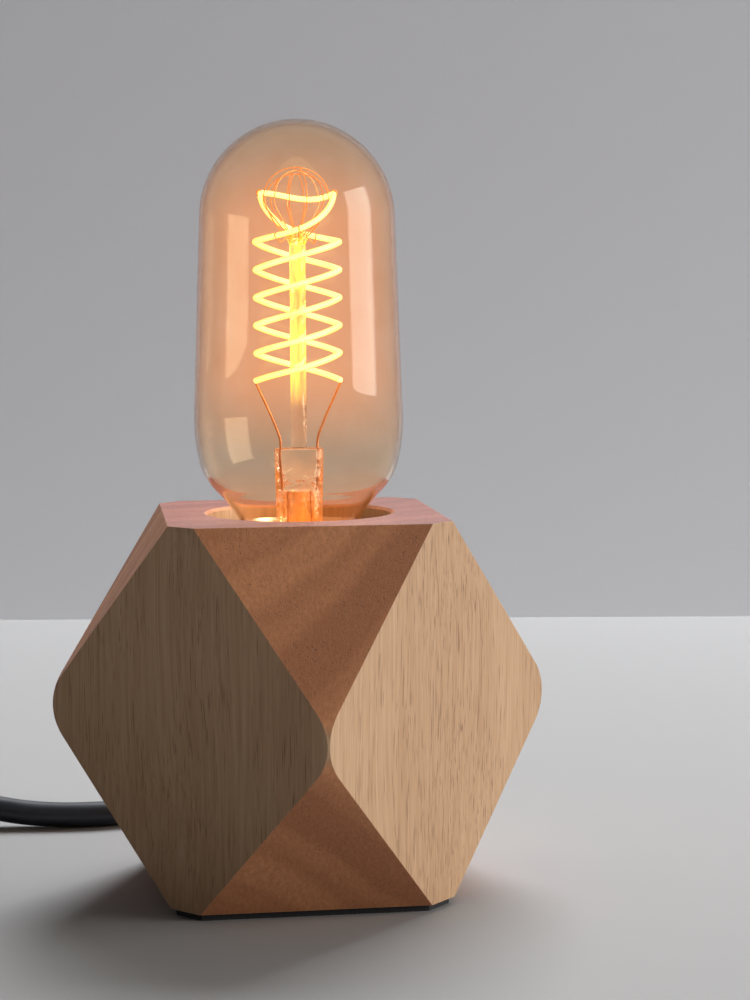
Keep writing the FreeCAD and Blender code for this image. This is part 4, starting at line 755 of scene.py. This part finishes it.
def hook(target, swell):
    """Cubic from the button, out and up to the target, then three quarters of a curl round the strand. The
    cubic is its four bends weighed by (1 - t) cubed, 3 t (1 - t) squared, 3 t squared (1 - t), t cubed."""
    outward = np.array([target[0], target[1], 0.0]) / math.hypot(target[0], target[1])
    bends = [BUTTON + outward * 1.7, BUTTON + outward * (3.5 + swell) + (0, 0, 0.6),
             target - outward * 0.9 + (0, 0, -3.2), target - outward * CURL_RADIUS]
    t = np.linspace(0.0, 1.0, 24)[:, None]
    weights = [(1 - t) ** 3, 3 * t * (1 - t) ** 2, 3 * t**2 * (1 - t), t**3]
    way = sum(weight * bend for weight, bend in zip(weights, bends))
    turn = np.linspace(np.pi, -0.5 * np.pi, 14)[1:, None]
    curl = target + CURL_RADIUS * (np.cos(turn) * outward + np.sin(turn) * UPRIGHT)
    return tube_grid(np.concatenate([way, curl]) / 1000, HOOK_WIRE, np.cross(outward, UPRIGHT), 8)


def arch(k):
    """Loop over the crown: half the width times cos t, waist + (top - waist) (sin t) to 0.8, for t from 0
    to pi. Each loop stands 30 degrees on from the last, and their widths and tops differ a little."""
    angle, half_width, top = math.radians(12 + 30 * k), 7.6 - 0.5 * (k % 2), 155.6 - 0.7 * (k % 3)
    t = np.linspace(0.0, np.pi, 36)[:, None]
    across = np.array([math.cos(angle), math.sin(angle), 0.0])
    bow = (across * half_width * np.cos(t)
           + UPRIGHT * (LOOP_WAIST + (top - LOOP_WAIST) * np.sin(t) ** 0.8))
    loop = np.concatenate([[BUTTON + across * 1.6], bow, [BUTTON - across * 1.6]])
    return tube_grid(eased(loop, 0.3, 2.0) / 1000, LOOP_WIRE, np.cross(across, UPRIGHT), 6)


targets = [path[back] for back in (-1, -42, -60) for path in (right_strand, left_strand)]
hooks = [hook(target, 0.3 * k) for k, target in enumerate(targets)]
make_piece("crown_hooks", hooks + [arch(k) for k in range(6)], "bulb", warm_wire,
           ["support_hooks"])

# %% [markdown]
# ## Screw threads
# The cap and the shell that it screws into are thin rolled metal, so their threads are round waves and not
# cut ridges. The radius is a mean plus a wave times cos(angle - 2 pi height / pitch), which is a spiral.
# Both use one pitch and one phase, and the shell's thread stays outside the cap's.

# %% Threaded cap and shell
THREAD_PITCH = 3.63


def threaded(low, high, mean, wave, wall, ends):
    """Rolled sleeve from low to high, in millimetres: outside going up, inside going down, with `ends` as the
    outline points that finish its top and bottom. The wave fades in over 2 mm at each end."""
    angle = full_turn(96)
    up = np.linspace(low, high, int((high - low) * 4))[:, None]
    fade = np.clip(np.minimum(up - low, high - up) / 2.0, 0.0, 1.0)
    radius = mean + wave * fade * np.cos(angle[None, :] - 2 * np.pi * up / THREAD_PITCH)
    walls = [np.stack([r * np.cos(angle), r * np.sin(angle), up + 0.0 * angle], axis=-1)
             for r in (radius, radius[::-1] - wall)]
    walls[1][..., 2] = walls[0][::-1, :, 2]
    over, under = (turned_grid(np.array(points), 96) * 1000 for points in ends)
    return np.concatenate([walls[0], over, walls[1], under]) / 1000


cap = threaded(58.4, 74.6, 12.72, 0.34, 0.3, [
    [(13.0, 75.6), (13.0, 78.5), (13.2, 79.3), (12.9, 79.3), (12.7, 78.5), (12.7, 75.6)],
    [(12.7, 57.6), (12.4, 57.0), (13.0, 57.6)]])
make_piece("rolled_cap", cap, "bulb", cap_metal, ["cap_shell"], ring=True)
shell = threaded(54.0, 72.6, 13.85, 0.18, 0.4, [
    [(13.75, 73.1), (14.0, 73.9), (13.55, 73.9), (13.35, 73.1)],
    [(13.35, 52.9), (15.2, 52.9), (15.2, 53.3), (13.75, 53.3)]])
make_piece("rolled_shell", shell, "base", brass, ["thread_shell"], ring=True)

# %% [markdown]
# ## Small things on the lead
# The rocker has the two usual marks, a bar for on and a ring for off, as thin raised lines. The tie round
# the put-away turns is a woven strap, so it gets a short ribbed weave and soft rounded corners.

# %% Marks on the rocker
mark_white = moulded("mark_white", (0.70, 0.70, 0.68), (0.80, 0.80, 0.78), (0.4, 0.5),
                     depth=0.00001, edge=0.0)
ROCKER_TILT, ROCKER_PIVOT = math.radians(8.0), (-118.0, 58.2, 12.6)
MARK_RADIUS = 0.00016


def on_rocker(x, y):
    """A point on the rocker's shallow valley, turned with it and moved to its pivot, in millimetres. The
    valley stands 2.4 over the pivot and rises by 1.2 to each end, and a mark lies 0.04 above it."""
    z = 2.4 + 1.2 * np.abs(x) / 7.8 + 0.04
    cos, sin = math.cos(ROCKER_TILT), math.sin(ROCKER_TILT)
    middle_x, middle_y, middle_z = ROCKER_PIVOT
    return np.column_stack([middle_x + x * cos + z * sin, middle_y + y, middle_z - x * sin + z * cos])


angle = np.linspace(0.0, 2 * np.pi, 41)
ring_path = on_rocker(-4.6 + 1.5 * np.cos(angle), 1.5 * np.sin(angle))
bar_path = on_rocker(4.6 + np.zeros(12), np.linspace(-1.6, 1.6, 12))
marks = [tube_grid(path / 1000, MARK_RADIUS, (0, 0, 1), 8) for path in (ring_path, bar_path)]
make_piece("rocker_marks", marks, "rocker", mark_white)

# %% Woven strap round the turns
strap_weave, tree, shader, place = new_material("strap_weave")
ribs = {"Vector": place, "Scale": 420.0, "Distortion": 1.5, "Detail": 1.0}
rows, cross_rows = (put(tree, "TexWave", ribs, bands_direction=way) for way in ("Z", "DIAGONAL"))
woven = product(tree, rows.outputs["Fac"], cross_rows.outputs["Fac"])
link_to(tree, shader, Base_Color=blend(tree, woven, (0.008, 0.008, 0.009), (0.035, 0.035, 0.038)),
        Roughness=ramp(tree, woven, 0.0, 1.0, 0.95, 0.75))
raise_surface(tree, shader, woven, 0.0002)

# %% Strap as a soft-cornered loop
# Its section across the turns is x = sign(cos a) |cos a|^(2 / soft) half_wide, and z the same with the sine
# and half_tall. The ribbon's own outline, 8 mm wide and 0.64 mm thick, moves it in and out.
STRAP_AT, TURNS_MIDDLE = math.radians(310.0), 36.4
corner = full_turn(72)
half_wide, half_tall, soft = 9.45, 6.75, 5.0
round_x = np.sign(np.cos(corner)) * np.abs(np.cos(corner)) ** (2 / soft) * half_wide
round_z = np.sign(np.sin(corner)) * np.abs(np.sin(corner)) ** (2 / soft) * half_tall + half_tall + 0.1
across_strap = np.array([(-4.0, 0.0), (-3.8, 0.32), (3.8, 0.32), (4.0, 0.0), (3.8, -0.32), (-3.8, -0.32)])
grow = 1.0 + across_strap[:, 1][:, None] / np.hypot(round_x, round_z - half_tall)[None, :]
along_r = TURNS_MIDDLE + round_x[None, :] * grow
up = (round_z[None, :] - half_tall) * grow + half_tall
sideways_r = across_strap[:, 0][:, None] + 0.0 * along_r
cos, sin = math.cos(STRAP_AT), math.sin(STRAP_AT)
strap = np.stack([COIL_MIDDLE[0] + along_r * cos - sideways_r * sin,
                  COIL_MIDDLE[1] + along_r * sin + sideways_r * cos, up], axis=-1) / 1000
make_piece("strap_loop", strap, "base", strap_weave, ["coil_tie"], ring=True)

# %% [markdown]
# ## Table, wall and light
# The lamp stands on a pale grey table before a pale wall, both plain. A window-sized soft light stands low
# on the right, where it lights the right faces and draws a tall streak down the glass. A second soft light
# behind and above brightens the table and the block's top but not the faces towards the camera. A small
# warm light in the filament throws its glow on the wood, and is itself hidden from view. The world adds a
# little light from all round, and is brighter only where it is seen, straight on, in reflections or through
# glass. The wall shows its front only, so a view from behind it isn't blocked.

# %% Floor and wall
def stage_plane(name, corners, colour):
    """Flat four-cornered surface that isn't part of the object."""
    mesh = bpy.data.meshes.new(name)
    mesh.from_pydata(corners, [], [(0, 1, 2, 3)])
    piece = add_object(name, mesh)
    mesh.materials.append(new_material(name, Base_Color=(*colour, 1.0), Roughness=0.9,
                                       Specular_IOR_Level=0.15)[0])
    return piece


WALL_DISTANCE, WALL_HEIGHT, REACH = 0.83, 2.0, 2.5
ahead = Vector((math.sin(YAW), math.cos(YAW), 0.0))
wall_foot = Vector((EYE.x, EYE.y, 0.0)) + ahead * WALL_DISTANCE
sideways, wall_top = level_right * REACH, Vector((0, 0, WALL_HEIGHT))
stage_plane("floor", [(-REACH, -REACH, 0), (REACH, -REACH, 0), (REACH, REACH, 0), (-REACH, REACH, 0)],
            (0.41, 0.407, 0.405))
wall = stage_plane("wall", [wall_foot - sideways, wall_foot + sideways, wall_foot + sideways + wall_top,
                            wall_foot - sideways + wall_top], (0.83, 0.85, 0.90))
wall.visible_shadow = False
wall_tree = wall.data.materials[0].node_tree
one_sided = put(wall_tree, "MixShader", {
    0: put(wall_tree, "NewGeometry").outputs["Backfacing"],
    1: wall_tree.nodes["Principled BSDF"].outputs[0],
    2: put(wall_tree, "BsdfTransparent").outputs[0]})
wall_tree.links.new(one_sided.outputs[0], wall_tree.nodes["Material Output"].inputs["Surface"])
print("wall foot at", [round(number, 3) for number in wall_foot])


# %% Lamps and world
def soft_light(name, place, target, width, height, watts, colour):
    """Rectangular light, turned to face the target."""
    data = bpy.data.lights.new(name, "AREA")
    data.shape = "RECTANGLE"
    data.size, data.size_y = width, height
    data.energy = watts
    data.color = colour
    light = add_object(name, data)
    light.location = place
    light.rotation_euler = (Vector(target) - Vector(place)).to_track_quat("-Z", "Y").to_euler()


soft_light("window", (3.1, -0.9, 0.66), (0.0, 0.0, 0.08), 2.0, 2.0, 106.0, (1.0, 0.97, 0.93))
soft_light("ceiling", (0.5, 1.1, 1.5), (0.0, 0.0, 0.05), 1.2, 1.0, 46.0, (0.95, 0.97, 1.0))
heart = bpy.data.lights.new("filament_light", "POINT")
heart.energy = 0.006
heart.color = (1.0, 0.22, 0.06)
heart.shadow_soft_size = 0.009
heart_light = add_object("filament_light", heart)
heart_light.location = (0.0, 0.0, 0.125)
heart_light.visible_camera = heart_light.visible_glossy = heart_light.visible_transmission = False

world = bpy.data.worlds.new("room")
scene.world = world
world.use_nodes = True
room = world.node_tree
room.nodes.clear()
rays = put(room, "LightPath").outputs
shiny = calculate(room, "MAXIMUM", rays["Is Glossy Ray"], rays["Is Transmission Ray"])
either = calculate(room, "MAXIMUM", shiny, rays["Is Camera Ray"])
lit = put(room, "Background", {"Color": (1.0, 0.88, 0.80, 1.0), "Strength": 0.05})
seen = put(room, "Background", {"Color": (0.97, 0.98, 1.0, 1.0), "Strength": 0.38})
choose = put(room, "MixShader", {0: either, 1: lit.outputs[0], 2: seen.outputs[0]})
put(room, "OutputWorld", {"Surface": choose.outputs[0]})
print("lights:", [item.name for item in bpy.data.lights])

# %% [markdown]
# ## The last line
# The looks must not change the lamp's size. The last call brings the scene up to date.

# %% Finish
bpy.context.view_layer.update()
